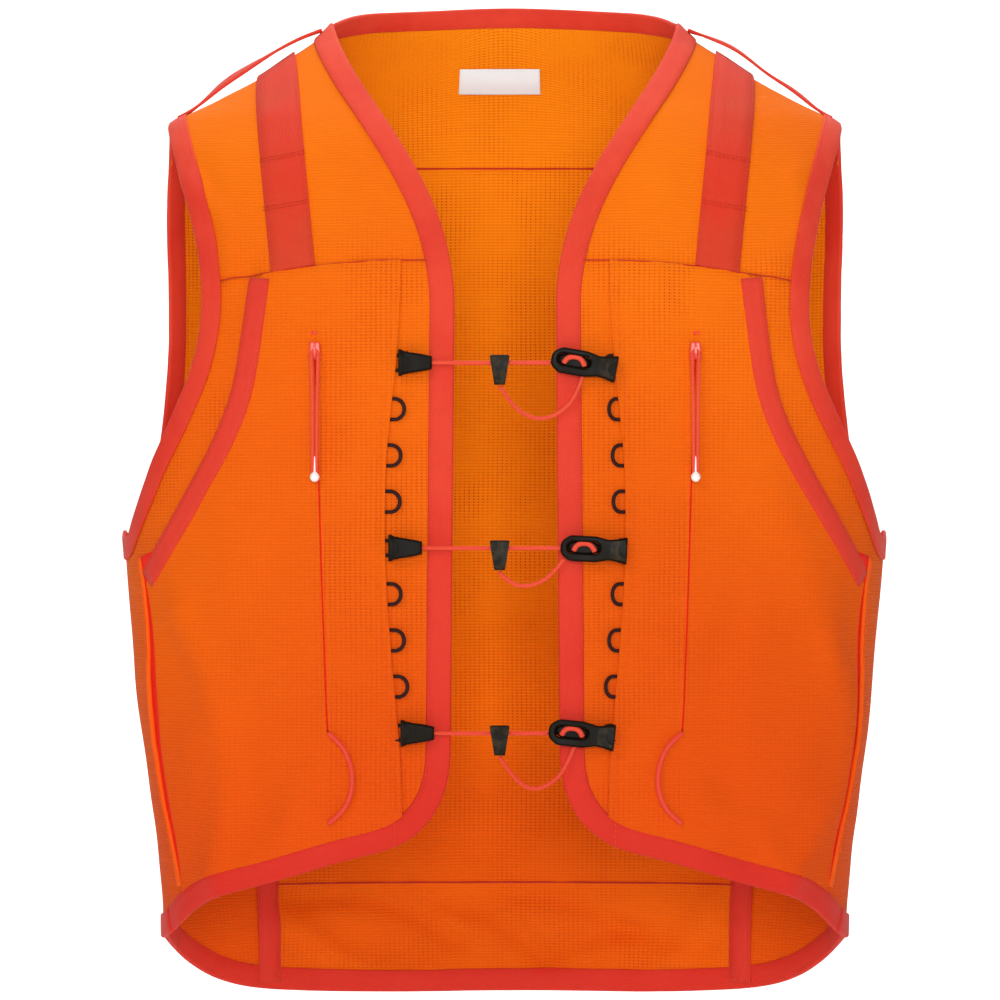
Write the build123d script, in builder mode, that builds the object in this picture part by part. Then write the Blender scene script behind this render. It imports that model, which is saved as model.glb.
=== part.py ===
"""Blaze orange mesh vest, open at the front, closed by three elastic cords on two loop ladders.

Millimetres, +Z up, the front faces -Y. The origin is the middle of the neck opening, where the
shoulders carry the vest. "left" is the -X side and "right" is the +X side, seen from the front.
Every fabric piece is cut from the same torso surface: an outline in the XZ plane, pushed through
the front or the back half of a shell. The shell's two faces are offsets of the torso surface.
"""

import os
from math import hypot, pi, radians, sin, tan

from build123d import *

os.makedirs("parts", exist_ok=True)

# ---------------------------------------------------------------- driving dimensions
NECK_Z = 17.0  # top of the neck band at the centre back
SHOULDER_TIP = (188.6, -54.7)  # outer end of the shoulder ridge
UNDERARM = (214.0, -297.0)  # bottom of the armhole
SIDE_HEM = (197.0, -514.0)  # where the front and back hems meet, just outside the side
BINDING = 13.0  # width of the folded binding seen from one side
BACK_BINDING = 11.0
TAPE = 12.0  # chest tape width
WEBBING = 25.0  # shoulder webbing width
CORD_D = 2.8  # elastic pole loops low on the pockets
CLOSURE_D = 2.3  # elastic closure cord
LADDER_D = 2.1  # cord of the loop ladders
PULL_D = 2.0  # zip pull cord
ZIP_W = 5.0
SIDE_PIPING = 5.0
LINER_TAPE = 14.0
LABEL_SIZE = (47.0, 16.0)
LABEL_CENTRE = (-3.0, -22.5)
STRAP_WIDTH = 12.0
STRAP_THICK = 1.2
STRAP_ROUTE = [(177, -44.5), (160, -31.5), (145, -21.5), (130, -11.5), (110, -0.6), (95, 7.0)]
GAP = 0.2  # clearance between neighbouring edges on the outer layer

# Torso stations: height, half width, depth to the front, depth to the back, squareness.
STATIONS = [
    (32.0, 88.0, 26.0, 56.0, 0.56),
    (17.0, 93.0, 29.0, 60.0, 0.56),
    (3.0, 98.0, 34.0, 65.0, 0.56),
    (-6.0, 107.0, 40.0, 69.0, 0.57),
    (-16.0, 123.0, 48.0, 74.0, 0.58),
    (-28.0, 141.0, 57.0, 80.0, 0.60),
    (-41.0, 163.0, 66.0, 86.0, 0.61),
    (-55.0, 188.6, 76.0, 91.0, 0.62),
    (-75.0, 203.0, 87.0, 97.0, 0.64),
    (-105.0, 211.0, 98.0, 104.0, 0.66),
    (-145.0, 215.0, 109.0, 112.0, 0.67),
    (-190.0, 216.0, 112.7, 118.0, 0.68),
    (-245.0, 215.5, 112.6, 121.0, 0.68),
    (-300.0, 213.5, 112.6, 119.0, 0.68),
    (-360.0, 208.0, 112.6, 114.0, 0.68),
    (-420.0, 201.0, 109.0, 109.0, 0.68),
    (-480.0, 195.0, 102.0, 107.0, 0.68),
    (-530.0, 192.0, 99.0, 109.0, 0.68),
    (-575.0, 190.0, 97.0, 112.0, 0.68),
]

# Fabric layers: inner and outer offset from the torso surface.
BASE = (-1.2, 0.0)
OUTER = (0.3, 1.5)
FOLDED = (-1.9, 1.2)  # binding folded over an edge
RAISED = (0.3, 2.1)  # piping and zip
LINER = (-2.8, -1.5)  # tapes on the inside
FACING = (0.3, 0.9)  # thin placket facing and the size label
LAYERS = (BASE, OUTER, FOLDED, RAISED, LINER, FACING)
REACH = 220.0  # longer than the torso is deep, for cutting through one half

# Front closures: the ladder pitch, the rows of the ladder that carry a closure.
LADDER_TOP_Z = -190.6
LADDER_PITCH = 25.1
LADDER_LOOPS = 9
CLOSURE_ROWS = {"top": 0, "middle": 4, "bottom": 8}
BUCKLE_TILT = {"top": 10.0, "middle": 3.0, "bottom": 6.0}  # degrees, right end down
LADDER_REACH = {"left": 7.0, "right": 5.4}  # pocket edge to the middle of the loop's tip
STAND_OFF = 2.9  # ladder cord's centre in front of the torso surface at the front edge
KEEPER_X = -3.0
HOOK_LENGTH = 17.7
BUCKLE_LENGTH = 36.0
SLACK_D = 2.1
# Slack cord below each closure, from the buckle's underside to the keeper: x, and drop from the row.
SLACK_ROUTES = {
    "top": [(42, 8.8), (38.5, 18.5), (29.5, 27.5), (19.5, 31), (10.5, 28.5), (2.5, 21.5), (-2.8, 13)],
    "middle": [(31.5, 8.6), (25.5, 14.5), (17.5, 19.5), (9, 21), (2, 18.5), (-3.2, 13.2)],
    "bottom": [(37.5, 8.6), (33, 19), (24.5, 28), (14, 31), (4.5, 24.5), (-2.8, 13)],
}
ZIP_TOP = (104.0, -165.0)
ZIP_END = (97.0, -375.0)
SLIDER_AT = 0.09  # the slider's place along the zip, from its top
PULL_LENGTH = 66.0


# ---------------------------------------------------------------- the torso surface
def offset_stations(offset):
    """The stations moved outwards by offset along the side profile's normal."""
    moved = []
    for i, (z, half, front, back, square) in enumerate(STATIONS):
        low = STATIONS[min(i + 1, len(STATIONS) - 1)]
        high = STATIONS[max(i - 1, 0)]
        rise = high[0] - low[0]
        lean = high[1] - low[1]
        out = offset * rise / hypot(rise, lean)
        up = -offset * lean / hypot(rise, lean)
        moved.append((z + up, half + out, front + out, back + out, square))
    return moved


def torso(offset):
    """A solid whose skin is the torso surface, offset outwards."""
    with BuildPart() as body:
        for z, half, front, back, square in offset_stations(offset):
            with BuildSketch(Plane.XY.offset(z)):
                with BuildLine():
                    for side, depth in ((1, -front), (-1, -front), (-1, back), (1, back)):
                        wide = side * half
                        knots = [
                            (wide, 0),
                            (wide, square * depth),
                            (square * wide, depth),
                            (0, depth),
                        ]
                        Bezier(*(knots if side * depth < 0 else knots[::-1]))
                make_face()
        loft()
    return body.part


def front_y(x, z):
    """The torso surface's y on the front, at a given x and z."""
    lower = next(i for i, station in enumerate(STATIONS) if station[0] <= z)
    low, high = STATIONS[lower], STATIONS[lower - 1]
    share = (z - low[0]) / (high[0] - low[0])
    half, front, square = (low[i] + share * (high[i] - low[i]) for i in (1, 2, 4))
    near, far = 0.0, 1.0
    for _ in range(40):
        t = (near + far) / 2
        reach = (1 - t) ** 3 + 3 * (1 - t) ** 2 * t + 3 * (1 - t) * t * t * square
        near, far = (t, far) if half * reach > abs(x) else (near, t)
    return -front * (3 * (1 - t) ** 2 * t * square + 3 * (1 - t) * t * t + t**3)


SKINS = {offset: torso(offset) for layer in LAYERS for offset in layer}


def drape(shape, layer, front=True):
    """A flat shape in the XZ plane, cut through one half of a fabric layer."""
    with BuildPart() as piece:
        with BuildSketch(Plane.XZ):
            add(shape)
        extrude(amount=REACH if front else -REACH)
        add(SKINS[layer[1]], mode=Mode.INTERSECT)
        add(SKINS[layer[0]], mode=Mode.SUBTRACT)
    return piece.part


def save(part, name):
    part.label = name
    export_step(part, f"parts/{name}.step")


def save_pair(part, name):
    """The right-hand piece and its mirror image."""
    save(mirror(part, about=Plane.YZ), f"{name}_left")
    save(part, f"{name}_right")


# ---------------------------------------------------------------- lines of the right-hand side
NECK_SIDE = (95.0, 3.0)
HEM_CORNER = (30.0, -395.0)
neck_line = Spline(NECK_SIDE, (62, -62), (37, -110), (28, -160), tangents=((-0.3, -1), (0, -1)))
fall_line = Line((28, -160), HEM_CORNER)
hem_line = Spline(
    HEM_CORNER, (35, -428), (52, -449), (84, -460.5), (135, -476), (172, -491), SIDE_HEM,
    tangents=((0, -1), (0.8, -0.6)),
)
front_arm_line = Spline(
    SHOULDER_TIP, (177.5, -91), (167.5, -135), (168, -178), (191, -238), UNDERARM
)
back_arm_line = Spline(SHOULDER_TIP, (193, -100), (193.5, -190), (200, -245), UNDERARM)
back_neck_line = Spline((0, NECK_Z), (62, 13.5), NECK_SIDE, tangents=((1, 0), (0.75, -0.66)))
back_hem_line = Spline((0, -551), (126, -549), (169, -538.5), SIDE_HEM, tangents=((1, 0), (0.6, 1)))
tape_points = [(131, -120), (137.5, -175), (143, -206), (156, -239), (174, -271), (204, -322)]
tape_line = Spline(*tape_points)
side_seam = [(212, -258), (200, -307), (195, -365), (190, -415), (184, -454), (174, -512)]
back_seam = [(204, -226), (185, -262), (160, -330), (146, -400), (139, -470), (137, -560)]
yoke_seam = [(0, -135.5), (103, -137.5), (129, -141), (155, -145), (182, -150)]
pocket_edge = [
    (56.5, -130), (58.5, -184), (63.5, -233), (64.7, -300), (59.5, -373), (56.8, -406), (56, -475)
]
BACK_YOKE_Z = -72.0
LOWER_BACK_Z = -488.0
webbing_line = Line((127.5, -5), (115.5, -142))
zip_line = Line(ZIP_TOP, ZIP_END)
FAR = 260.0  # beyond every outline


def beyond(points, *corners):
    """The flat area between a smooth line of points and far corners that go on from its end."""
    with BuildSketch() as area:
        with BuildLine():
            Spline(*points)
            Polyline(points[-1], *corners, points[0])
        make_face()
    return area.sketch


def band(lines, width):
    """The flat strip that runs along both sides of some lines."""
    with BuildSketch() as strip:
        trace(lines, 2 * width)
    return strip.sketch


def cut(shape, *keep, without=()):
    """What is left of a flat shape inside each shape of keep and outside those of without."""
    with BuildSketch() as left:
        add(shape)
        for other in keep:
            add(other, mode=Mode.INTERSECT)
        for other in without:
            add(other, mode=Mode.SUBTRACT)
    return left.sketch


def both_sides(shape):
    """A flat shape and its mirror image, as one."""
    with BuildSketch() as whole:
        add(shape)
        mirror(about=Plane.YZ)
    return whole.sketch


with BuildSketch() as front_half:
    with BuildLine():
        add([neck_line, fall_line, hem_line, front_arm_line])
        Polyline(SIDE_HEM, (FAR, SIDE_HEM[1]), (FAR, UNDERARM[1]), UNDERARM)
        Polyline(SHOULDER_TIP, (SHOULDER_TIP[0], NECK_SIDE[1]), NECK_SIDE)
    make_face()

with BuildSketch() as back_half:
    with BuildLine():
        add([back_neck_line, back_arm_line, back_hem_line])
        Polyline(NECK_SIDE, (SHOULDER_TIP[0], NECK_SIDE[1]), SHOULDER_TIP)
        Polyline(UNDERARM, (FAR, UNDERARM[1]), (FAR, SIDE_HEM[1]), SIDE_HEM)
        Line((0, NECK_Z), (0, -551))
    make_face()

# ---------------------------------------------------------------- flat shapes, right-hand side
edge_strip = band([neck_line, fall_line, hem_line], BINDING)
front_arm_strip = band([front_arm_line], TAPE)
back_arm_strip = band([back_arm_line], BACK_BINDING)
neck_strip = band([back_neck_line], BACK_BINDING)
back_hem_strip = band([back_hem_line], BINDING)
tape_strip = band([tape_line], TAPE / 2)
webbing_strip = band([webbing_line], WEBBING / 2)
zip_strip = band([zip_line], ZIP_W / 2)
zip_slot = band([zip_line], ZIP_W / 2 + GAP)
side_strip = band([Spline(*side_seam)], SIDE_PIPING / 2)
side_area = beyond(side_seam, (FAR, -512), (FAR, -258))
back_side_area = beyond(back_seam, (FAR, -560), (FAR, -226))
yoke_area = beyond(yoke_seam, (205, -100), (205, 1.5), (0, 1.5))
pocket_area = beyond(pocket_edge, (56, -520), (FAR, -520), (FAR, -130))

front_edges = (edge_strip, front_arm_strip)
with BuildSketch() as below_neck:
    with Locations((0, NECK_SIDE[1] - 1.5)):
        Rectangle(FAR, 600, align=(Align.MIN, Align.MAX))
front_cloth = cut(front_half.sketch, below_neck.sketch, without=front_edges)
back_cloth = cut(back_half.sketch, without=(back_arm_strip, neck_strip, back_hem_strip))

with BuildSketch() as above_back_yoke:
    with Locations((0, BACK_YOKE_Z)):
        Rectangle(FAR, 150, align=(Align.MIN, Align.MIN))
with BuildSketch() as below_lower_back:
    with Locations((0, LOWER_BACK_Z)):
        Rectangle(FAR, 150, align=(Align.MIN, Align.MAX))
with BuildSketch() as zip_side_area:
    with BuildLine():
        Polyline((104.6, -120), ZIP_TOP, ZIP_END, (95.5, -400), (95.5, -520), (FAR, -520))
        Polyline((FAR, -520), (FAR, -120), (104.6, -120))
    make_face()

# ---------------------------------------------------------------- back of the vest
with BuildPart() as back_yoke:
    add(drape(both_sides(cut(back_cloth, above_back_yoke.sketch)), BASE, front=False))
save(back_yoke.part, "back_yoke")

back_middle = cut(back_cloth, without=(above_back_yoke.sketch, below_lower_back.sketch, back_side_area))
with BuildPart() as back_panel:
    add(drape(both_sides(back_middle), BASE, front=False))
save(back_panel.part, "back_panel")

with BuildPart() as lower_back_panel:
    shape = cut(back_cloth, below_lower_back.sketch, without=(back_side_area,))
    add(drape(both_sides(shape), BASE, front=False))
save(lower_back_panel.part, "lower_back_panel")

with BuildPart() as neck_band:
    add(drape(both_sides(cut(neck_strip, back_half.sketch)), FOLDED, front=False))
save(neck_band.part, "back_neck_binding")

with BuildPart() as back_hem:
    shape = cut(back_hem_strip, back_half.sketch, without=(back_arm_strip,))
    add(drape(both_sides(shape), FOLDED, front=False))
save(back_hem.part, "back_hem_binding")

# ---------------------------------------------------------------- front and side panels
with BuildPart() as front_yoke:
    add(drape(cut(front_cloth, yoke_area), BASE))
save_pair(front_yoke.part, "front_yoke")

with BuildPart() as front_panel:
    add(drape(cut(front_cloth, without=(yoke_area, side_area)), BASE))
save_pair(front_panel.part, "front_panel")

with BuildPart() as side_panel:
    add(drape(cut(front_cloth, side_area), BASE))
    add(drape(cut(back_cloth, back_side_area), BASE, front=False))
save_pair(side_panel.part, "side_panel")

with BuildPart() as armhole_binding:
    add(drape(cut(front_arm_strip, front_half.sketch), FOLDED))
    add(drape(cut(back_arm_strip, back_half.sketch), FOLDED, front=False))
save_pair(armhole_binding.part, "armhole_binding")

with BuildPart() as front_edge_binding:
    add(drape(cut(edge_strip, front_half.sketch, without=(front_arm_strip,)), FOLDED))
save_pair(front_edge_binding.part, "front_edge_binding")

# ---------------------------------------------------------------- outer layer
with BuildPart() as placket:
    add(drape(cut(front_cloth, without=(yoke_area, pocket_area, side_area)), FACING))
save_pair(placket.part, "placket")

inside_tape = beyond(tape_points, (FAR, -322), (FAR, -120))
pocket_cloth = cut(
    front_cloth, pocket_area,
    without=(yoke_area, side_area, side_strip, tape_strip, inside_tape, zip_slot),
)
with BuildPart() as pocket_panel:
    add(drape(cut(pocket_cloth, without=(zip_side_area,)), OUTER))
save_pair(pocket_panel.part, "pocket_panel")

with BuildPart() as chest_side_panel:
    add(drape(cut(pocket_cloth, zip_side_area), OUTER))
save_pair(chest_side_panel.part, "pocket_side_panel")

with BuildPart() as chest_tape:
    add(drape(cut(tape_strip, front_cloth, without=(yoke_area, side_area, side_strip)), OUTER))
save_pair(chest_tape.part, "chest_tape")

with BuildPart() as shoulder_webbing:
    add(drape(cut(webbing_strip, yoke_area), OUTER))
save_pair(shoulder_webbing.part, "shoulder_webbing")

with BuildPart() as zip_coil:
    add(drape(zip_strip, RAISED))
save_pair(zip_coil.part, "zip_coil")

with BuildPart() as side_pocket_binding:
    add(drape(cut(side_strip, front_cloth), RAISED))
save_pair(side_pocket_binding.part, "side_pocket_binding")

# ---------------------------------------------------------------- inside: tapes and size label
with BuildPart() as inner_tape:
    shape = cut(band([Spline(*back_seam)], LINER_TAPE / 2), back_cloth)
    add(drape(shape, LINER, front=False))
save_pair(inner_tape.part, "inner_tape")

with BuildPart() as size_label:
    with BuildSketch() as outline:
        with Locations(LABEL_CENTRE):
            RectangleRounded(*LABEL_SIZE, radius=1.5)
    add(drape(outline.sketch, LINER, front=False))
save(size_label.part, "size_label")

# ---------------------------------------------------------------- shoulder straps
strap_shape = band([Spline(*STRAP_ROUTE)], STRAP_THICK / 2)
with BuildPart() as shoulder_strap:
    with BuildSketch(Plane.XZ.offset(-STRAP_WIDTH / 2)):
        add(strap_shape)
    extrude(amount=STRAP_WIDTH)
save_pair(shoulder_strap.part, "shoulder_strap")

# ---------------------------------------------------------------- loop ladders and elastic loops
def pocket_edge_x(z):
    """How far out the pocket's inner edge lies at a height."""
    for (x_top, top), (x_low, low) in zip(pocket_edge, pocket_edge[1:]):
        if low <= z <= top:
            return x_low + (z - low) / (top - low) * (x_top - x_low)
    return pocket_edge[-1][0]


def tube(points, radii, diameter):
    """A round cord along straight runs joined by tangent arcs."""
    with BuildPart() as cord:
        with BuildLine() as path:
            if len(points) > 2:
                FilletPolyline(*points, radius=radii)
            else:
                Line(*points)
        with BuildSketch(Plane(path.line @ 0, z_dir=path.line % 0)):
            Circle(diameter / 2)
        sweep()
    length = path.wires()[0].length
    share = cord.part.volume / (pi * diameter**2 / 4 * length)
    print(f"cord length {length:.1f} volume/expected {share:.4f}")
    return cord.part


def corner_radii(points):
    """0.45 of the shorter run, divided by the tangent of half the turn, at each inner point."""
    radii = []
    for before, at, after in zip(points, points[1:], points[2:]):
        run_in, run_out = Vector(*at) - Vector(*before), Vector(*after) - Vector(*at)
        half_turn = radians(run_in.get_angle(run_out)) / 2
        radii.append(0.45 * min(run_in.length, run_out.length) / tan(half_turn))
    print("radii", [round(r, 1) for r in radii])
    return radii


def ladder_y(z):
    """Where the tips of the ladder loops stand, clear in front of the bound front edge."""
    return front_y(HEM_CORNER[0] - 2, z) - STAND_OFF


def ladder_loop(z, reach):
    """One loop of a ladder, on the right-hand side: out from under the pocket edge and back."""
    edge = pocket_edge_x(z)
    low_y = front_y(edge, z) - LADDER_D / 2 - OUTER[1] - 0.35
    tip_y = ladder_y(z)
    half = 5.6
    return [
        (edge, low_y, z + half),
        (edge - 0.55 * reach, (low_y + tip_y) / 2, z + half),
        (edge - reach, tip_y, z + 0.45 * half),
        (edge - reach, tip_y, z - 0.45 * half),
        (edge - 0.55 * reach, (low_y + tip_y) / 2, z - half),
        (edge, low_y, z - half),
    ]


for side, reach in LADDER_REACH.items():
    with BuildPart() as ladder:
        for i in range(LADDER_LOOPS):
            route = ladder_loop(LADDER_TOP_Z - i * LADDER_PITCH, reach)
            add(tube(route, corner_radii(route), LADDER_D))
    save(ladder.part if side == "right" else mirror(ladder.part, about=Plane.YZ), f"loop_ladder_{side}")

ELASTIC_XZ = [
    (96, -392), (89.5, -397), (84.5, -406), (82.5, -417), (84.5, -428), (89.5, -436), (96, -441)
]
elastic_route = [
    (x, front_y(x, z) - OUTER[1] - CORD_D / 2 - 0.4 - 2.5 * sin(pi * i / 6), z)
    for i, (x, z) in enumerate(ELASTIC_XZ)
]
with BuildPart() as elastic_loop:
    add(tube(elastic_route, corner_radii(elastic_route), CORD_D))
save_pair(elastic_loop.part, "elastic_loop")

# ---------------------------------------------------------------- front closures
def on_front(y):
    """The XZ plane at a given y, with its normal to the front."""
    return Plane.XZ.offset(-y)


def catch(at, y, z, sign):
    """The hollow behind a closure's end that takes a ladder loop, with a post inside the loop.

    at, y, z is the loop's tip. The hollow opens backwards and towards the pocket edge, on side sign.
    """
    outwards = (Align.MIN if sign > 0 else Align.MAX, Align.CENTER)
    with BuildPart() as hollow:
        with BuildSketch(on_front(y + 2.0)):
            with Locations((at - sign * 1.45, z)):
                Rectangle(20, 30, align=outwards)
            with Locations((at + sign * 1.9, z)):
                Rectangle(3, 4.2, align=outwards, mode=Mode.SUBTRACT)
        extrude(amount=3.4)
    return hollow.part


for row, index in CLOSURE_ROWS.items():
    row_z = LADDER_TOP_Z - index * LADDER_PITCH
    edge = pocket_edge_x(row_z)
    tip_y = ladder_y(row_z)
    back_y = tip_y + 0.6
    cord_y = tip_y - 2.4
    hook_end, hook_tip = -(edge - 1.8), -(edge - 1.8 - HOOK_LENGTH)
    buckle_left = edge + 1.5 - BUCKLE_LENGTH
    buckle_mid = edge + 1.5 - BUCKLE_LENGTH / 2

    with BuildPart() as hook:
        with BuildSketch(on_front(back_y)):
            with BuildLine():
                top = Spline((hook_end, 6.1), (hook_end + 6, 5.6), (hook_tip, 3.4))
                mirror(top, about=Plane.XZ)
                Line((hook_end, 6.1), (hook_end, -6.1))
                Line((hook_tip, 3.4), (hook_tip, -3.4))
            make_face()
        extrude(amount=6.1)
        fillet(hook.faces().sort_by(Axis.Y)[0].edges(), 1.4)
        add(catch(LADDER_REACH["left"] - edge, tip_y, 0, -1), mode=Mode.SUBTRACT)
    hook.part.position = (0, 0, row_z)
    save(hook.part, f"hook_{row}")

    with BuildPart() as buckle:
        with BuildSketch(on_front(back_y)) as outline:
            half = BUCKLE_LENGTH / 2
            with BuildLine():
                Polyline((-half, 0), (-half, 3.4), (-13, 7), (1, 7), (8, 5.5), (half, 6.8), (half, 0))
                mirror(about=Plane.XZ)
            make_face()
            bends = outline.vertices().filter_by(lambda v: v.X < half - 0.1 and abs(v.Y) > 1)
            fillet(bends, 5)
            fillet(outline.vertices().filter_by(lambda v: v.X > half - 0.1 and abs(v.Y) > 6), 1.2)
            with Locations((-5.5, 0.6)):
                SlotOverall(18, 6.4, mode=Mode.SUBTRACT)
        extrude(amount=7)
        fillet(buckle.faces().sort_by(Axis.Y)[0].edges(), 1.2)
    tilted = Location((buckle_mid, 0, row_z - 0.7), (0, BUCKLE_TILT[row], 0))
    with BuildPart() as hooked_buckle:
        add(buckle.part.moved(tilted))
        add(catch(edge - LADDER_REACH["right"], tip_y, row_z, 1), mode=Mode.SUBTRACT)
    save(hooked_buckle.part, f"buckle_{row}")

    taut = [(hook_tip, cord_y, row_z), (buckle_left - 0.4, cord_y, row_z)]
    save(tube(taut, [], CLOSURE_D), f"closure_cord_{row}")

    with BuildPart() as keeper:
        with BuildSketch(on_front(cord_y + 3.6)) as outline:
            with BuildLine():
                Polyline(
                    (-5.4, 3.6), (-4.4, 4.2), (4.4, 4.2), (5.4, 3.6), (2.9, -12), (-2.9, -12),
                    close=True,
                )
            make_face()
        extrude(amount=7.2)
        fillet(keeper.edges().filter_by(Axis.X), 1.2)
        with BuildSketch(Plane.YZ):
            with Locations((cord_y, 0)):
                Circle(CLOSURE_D / 2 + 0.3)
        extrude(amount=20, both=True, mode=Mode.SUBTRACT)
    keeper.part.position = (KEEPER_X, 0, row_z)
    save(keeper.part, f"keeper_{row}")

    slack_route = [(x, cord_y, row_z - drop) for x, drop in SLACK_ROUTES[row]]
    save(tube(slack_route, corner_radii(slack_route), SLACK_D), f"slack_cord_{row}")
    print(f"hinge {row}: x {edge + 0.5:.2f} y {tip_y:.2f}, cord y {cord_y:.2f} z {row_z:.2f}")

# ---------------------------------------------------------------- zip sliders and pulls
slider_x = ZIP_TOP[0] + SLIDER_AT * (ZIP_END[0] - ZIP_TOP[0])
slider_z = ZIP_TOP[1] + SLIDER_AT * (ZIP_END[1] - ZIP_TOP[1])
slider_y = front_y(slider_x, slider_z) - RAISED[1] - 2.0
bridge_y = slider_y - 2.6 - 1.6

with BuildPart() as zip_slider:
    with BuildSketch(on_front(slider_y)):
        with Locations((slider_x, slider_z)):
            Trapezoid(7.2, 9.5, 84)
    extrude(amount=2.6)
    fillet(zip_slider.faces().sort_by(Axis.Y)[0].edges(), 0.8)
    with BuildSketch(Plane.YZ.offset(slider_x)):
        with Locations((bridge_y + 0.6, slider_z)):
            SlotOverall(8.4, 5.6, rotation=90)
            Rectangle(3.2, 5.6, align=(Align.MIN, Align.CENTER))
        with Locations((bridge_y, slider_z)):
            Circle(PULL_D / 2 + 0.3, mode=Mode.SUBTRACT)
    extrude(amount=0.5, both=True)
save_pair(zip_slider.part, "zip_slider")

drops = (PULL_LENGTH, 40, 20, 7, 0)
spread = (1.1, 1.25, 1.4, 1.8, 1.8)
left_strand = [(slider_x - s, bridge_y, slider_z - d) for s, d in zip(spread, drops)]
right_strand = [(slider_x + s, bridge_y, slider_z - d) for s, d in zip(spread, drops)]
pull_route = left_strand + right_strand[::-1]
with BuildPart() as zip_pull_cord:
    add(tube(pull_route, corner_radii(pull_route), PULL_D))
save_pair(zip_pull_cord.part, "zip_pull_cord")

with BuildPart() as zip_bead:
    with BuildSketch(Plane.XY.offset(slider_z - PULL_LENGTH)):
        with Locations((slider_x, bridge_y)):
            Circle(2.4)
    extrude(amount=-4)
    with Locations((slider_x, bridge_y, slider_z - PULL_LENGTH - 5.8)):
        Sphere(2.7)
save_pair(zip_bead.part, "zip_bead")
print(f"slider x {slider_x:.2f} y {slider_y:.2f} z {slider_z:.2f} bridge y {bridge_y:.2f}")
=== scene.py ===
"""Looks of the blaze orange mesh vest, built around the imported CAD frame.

Lengths are millimetres until a mesh is made. The frame is the CAD's: +X right, -Y front, +Z up.
The torso surface is the one that the CAD panels are cut from. A place on it is (h, z): h is the
distance along the level section, from the centre front, or from the centre back where back is set.
Shapes are drawn for the right-hand side, and side = -1 mirrors them.
"""

import math

import bmesh
import bpy
import numpy as np
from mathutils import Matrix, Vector
from mathutils.geometry import delaunay_2d_cdt


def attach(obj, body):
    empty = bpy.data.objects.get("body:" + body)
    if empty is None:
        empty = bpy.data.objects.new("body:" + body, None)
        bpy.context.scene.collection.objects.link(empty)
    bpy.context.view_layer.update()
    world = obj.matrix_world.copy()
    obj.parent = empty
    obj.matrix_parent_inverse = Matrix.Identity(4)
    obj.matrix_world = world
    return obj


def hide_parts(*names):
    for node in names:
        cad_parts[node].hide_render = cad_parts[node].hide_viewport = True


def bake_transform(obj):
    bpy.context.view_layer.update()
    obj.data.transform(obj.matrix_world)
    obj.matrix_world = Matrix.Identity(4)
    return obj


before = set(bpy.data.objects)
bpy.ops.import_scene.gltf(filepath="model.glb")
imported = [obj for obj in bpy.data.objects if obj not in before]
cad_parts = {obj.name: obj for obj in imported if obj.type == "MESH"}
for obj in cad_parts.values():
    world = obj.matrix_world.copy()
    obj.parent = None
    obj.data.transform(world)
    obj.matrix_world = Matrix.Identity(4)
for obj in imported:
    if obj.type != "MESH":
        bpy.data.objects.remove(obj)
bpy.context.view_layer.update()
MM = 0.001
SIDES = ((1, "right"), (-1, "left"))
CLOTH_STEP = 3.1  # between the knit sheets' points
rng = np.random.default_rng(7)

# ---------------------------------------------------------------- camera and stage
EYE = (-2.8, -3000.0, -265.0)
LENS = 191.6
camera = bpy.data.objects.new("camera", bpy.data.cameras.new("camera"))
camera.data.sensor_width = 36
camera.data.lens = LENS
camera.location = [v * MM for v in EYE]
camera.rotation_euler = (math.pi / 2, 0, 0)
bpy.context.scene.collection.objects.link(camera)
bpy.context.scene.camera = camera
bpy.context.scene.view_settings.view_transform = "Standard"

# ---------------------------------------------------------------- the torso surface
# Height, half width, depth to the front, depth to the back, squareness, from the hem up.
STATIONS = np.array([
    (-575, 190, 97, 112, 0.68), (-530, 192, 99, 109, 0.68), (-480, 195, 102, 107, 0.68),
    (-420, 201, 109, 109, 0.68), (-360, 208, 112.6, 114, 0.68), (-300, 213.5, 112.6, 119, 0.68),
    (-245, 215.5, 112.6, 121, 0.68), (-190, 216, 112.7, 118, 0.68), (-145, 215, 109, 112, 0.67),
    (-105, 211, 98, 104, 0.66), (-75, 203, 87, 97, 0.64), (-55, 188.6, 76, 91, 0.62),
    (-41, 163, 66, 86, 0.61), (-28, 141, 57, 80, 0.60), (-16, 123, 48, 74, 0.58),
    (-6, 107, 40, 69, 0.57), (3, 98, 34, 65, 0.56), (17, 93, 29, 60, 0.56), (32, 88, 26, 56, 0.56),
])


def hermite(low, high, low_slope, high_slope, gap, t):
    """The cubic from low to high that has the given slopes at its ends, at the share t of the gap."""
    ends = low * (2 * t**3 - 3 * t**2 + 1) + high * (3 * t**2 - 2 * t**3)
    return ends + gap * (low_slope * (t**3 - 2 * t**2 + t) + high_slope * (t**3 - t**2))


def unit(vectors):
    """The vectors at length 1."""
    return vectors / np.linalg.norm(vectors, axis=-1, keepdims=True)


def travelled(line):
    """The distance along a line of points from its start to each of them."""
    return np.concatenate([[0], np.linalg.norm(np.diff(line, axis=0), axis=1).cumsum()])


def station_slopes(values):
    """The slope at each station of a smooth curve that keeps to the stations' shape."""
    rises = np.diff(values) / np.diff(STATIONS[:, 0])
    product = rises[:-1] * rises[1:]
    total = np.where(np.abs(rises[:-1] + rises[1:]) < 1e-9, 1.0, rises[:-1] + rises[1:])
    inner = np.where(product > 0, 2 * product / total, 0.0)
    return np.concatenate([rises[:1], inner, rises[-1:]])


SLOPES = np.array([station_slopes(STATIONS[:, i]) for i in range(1, 5)]).T


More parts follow.
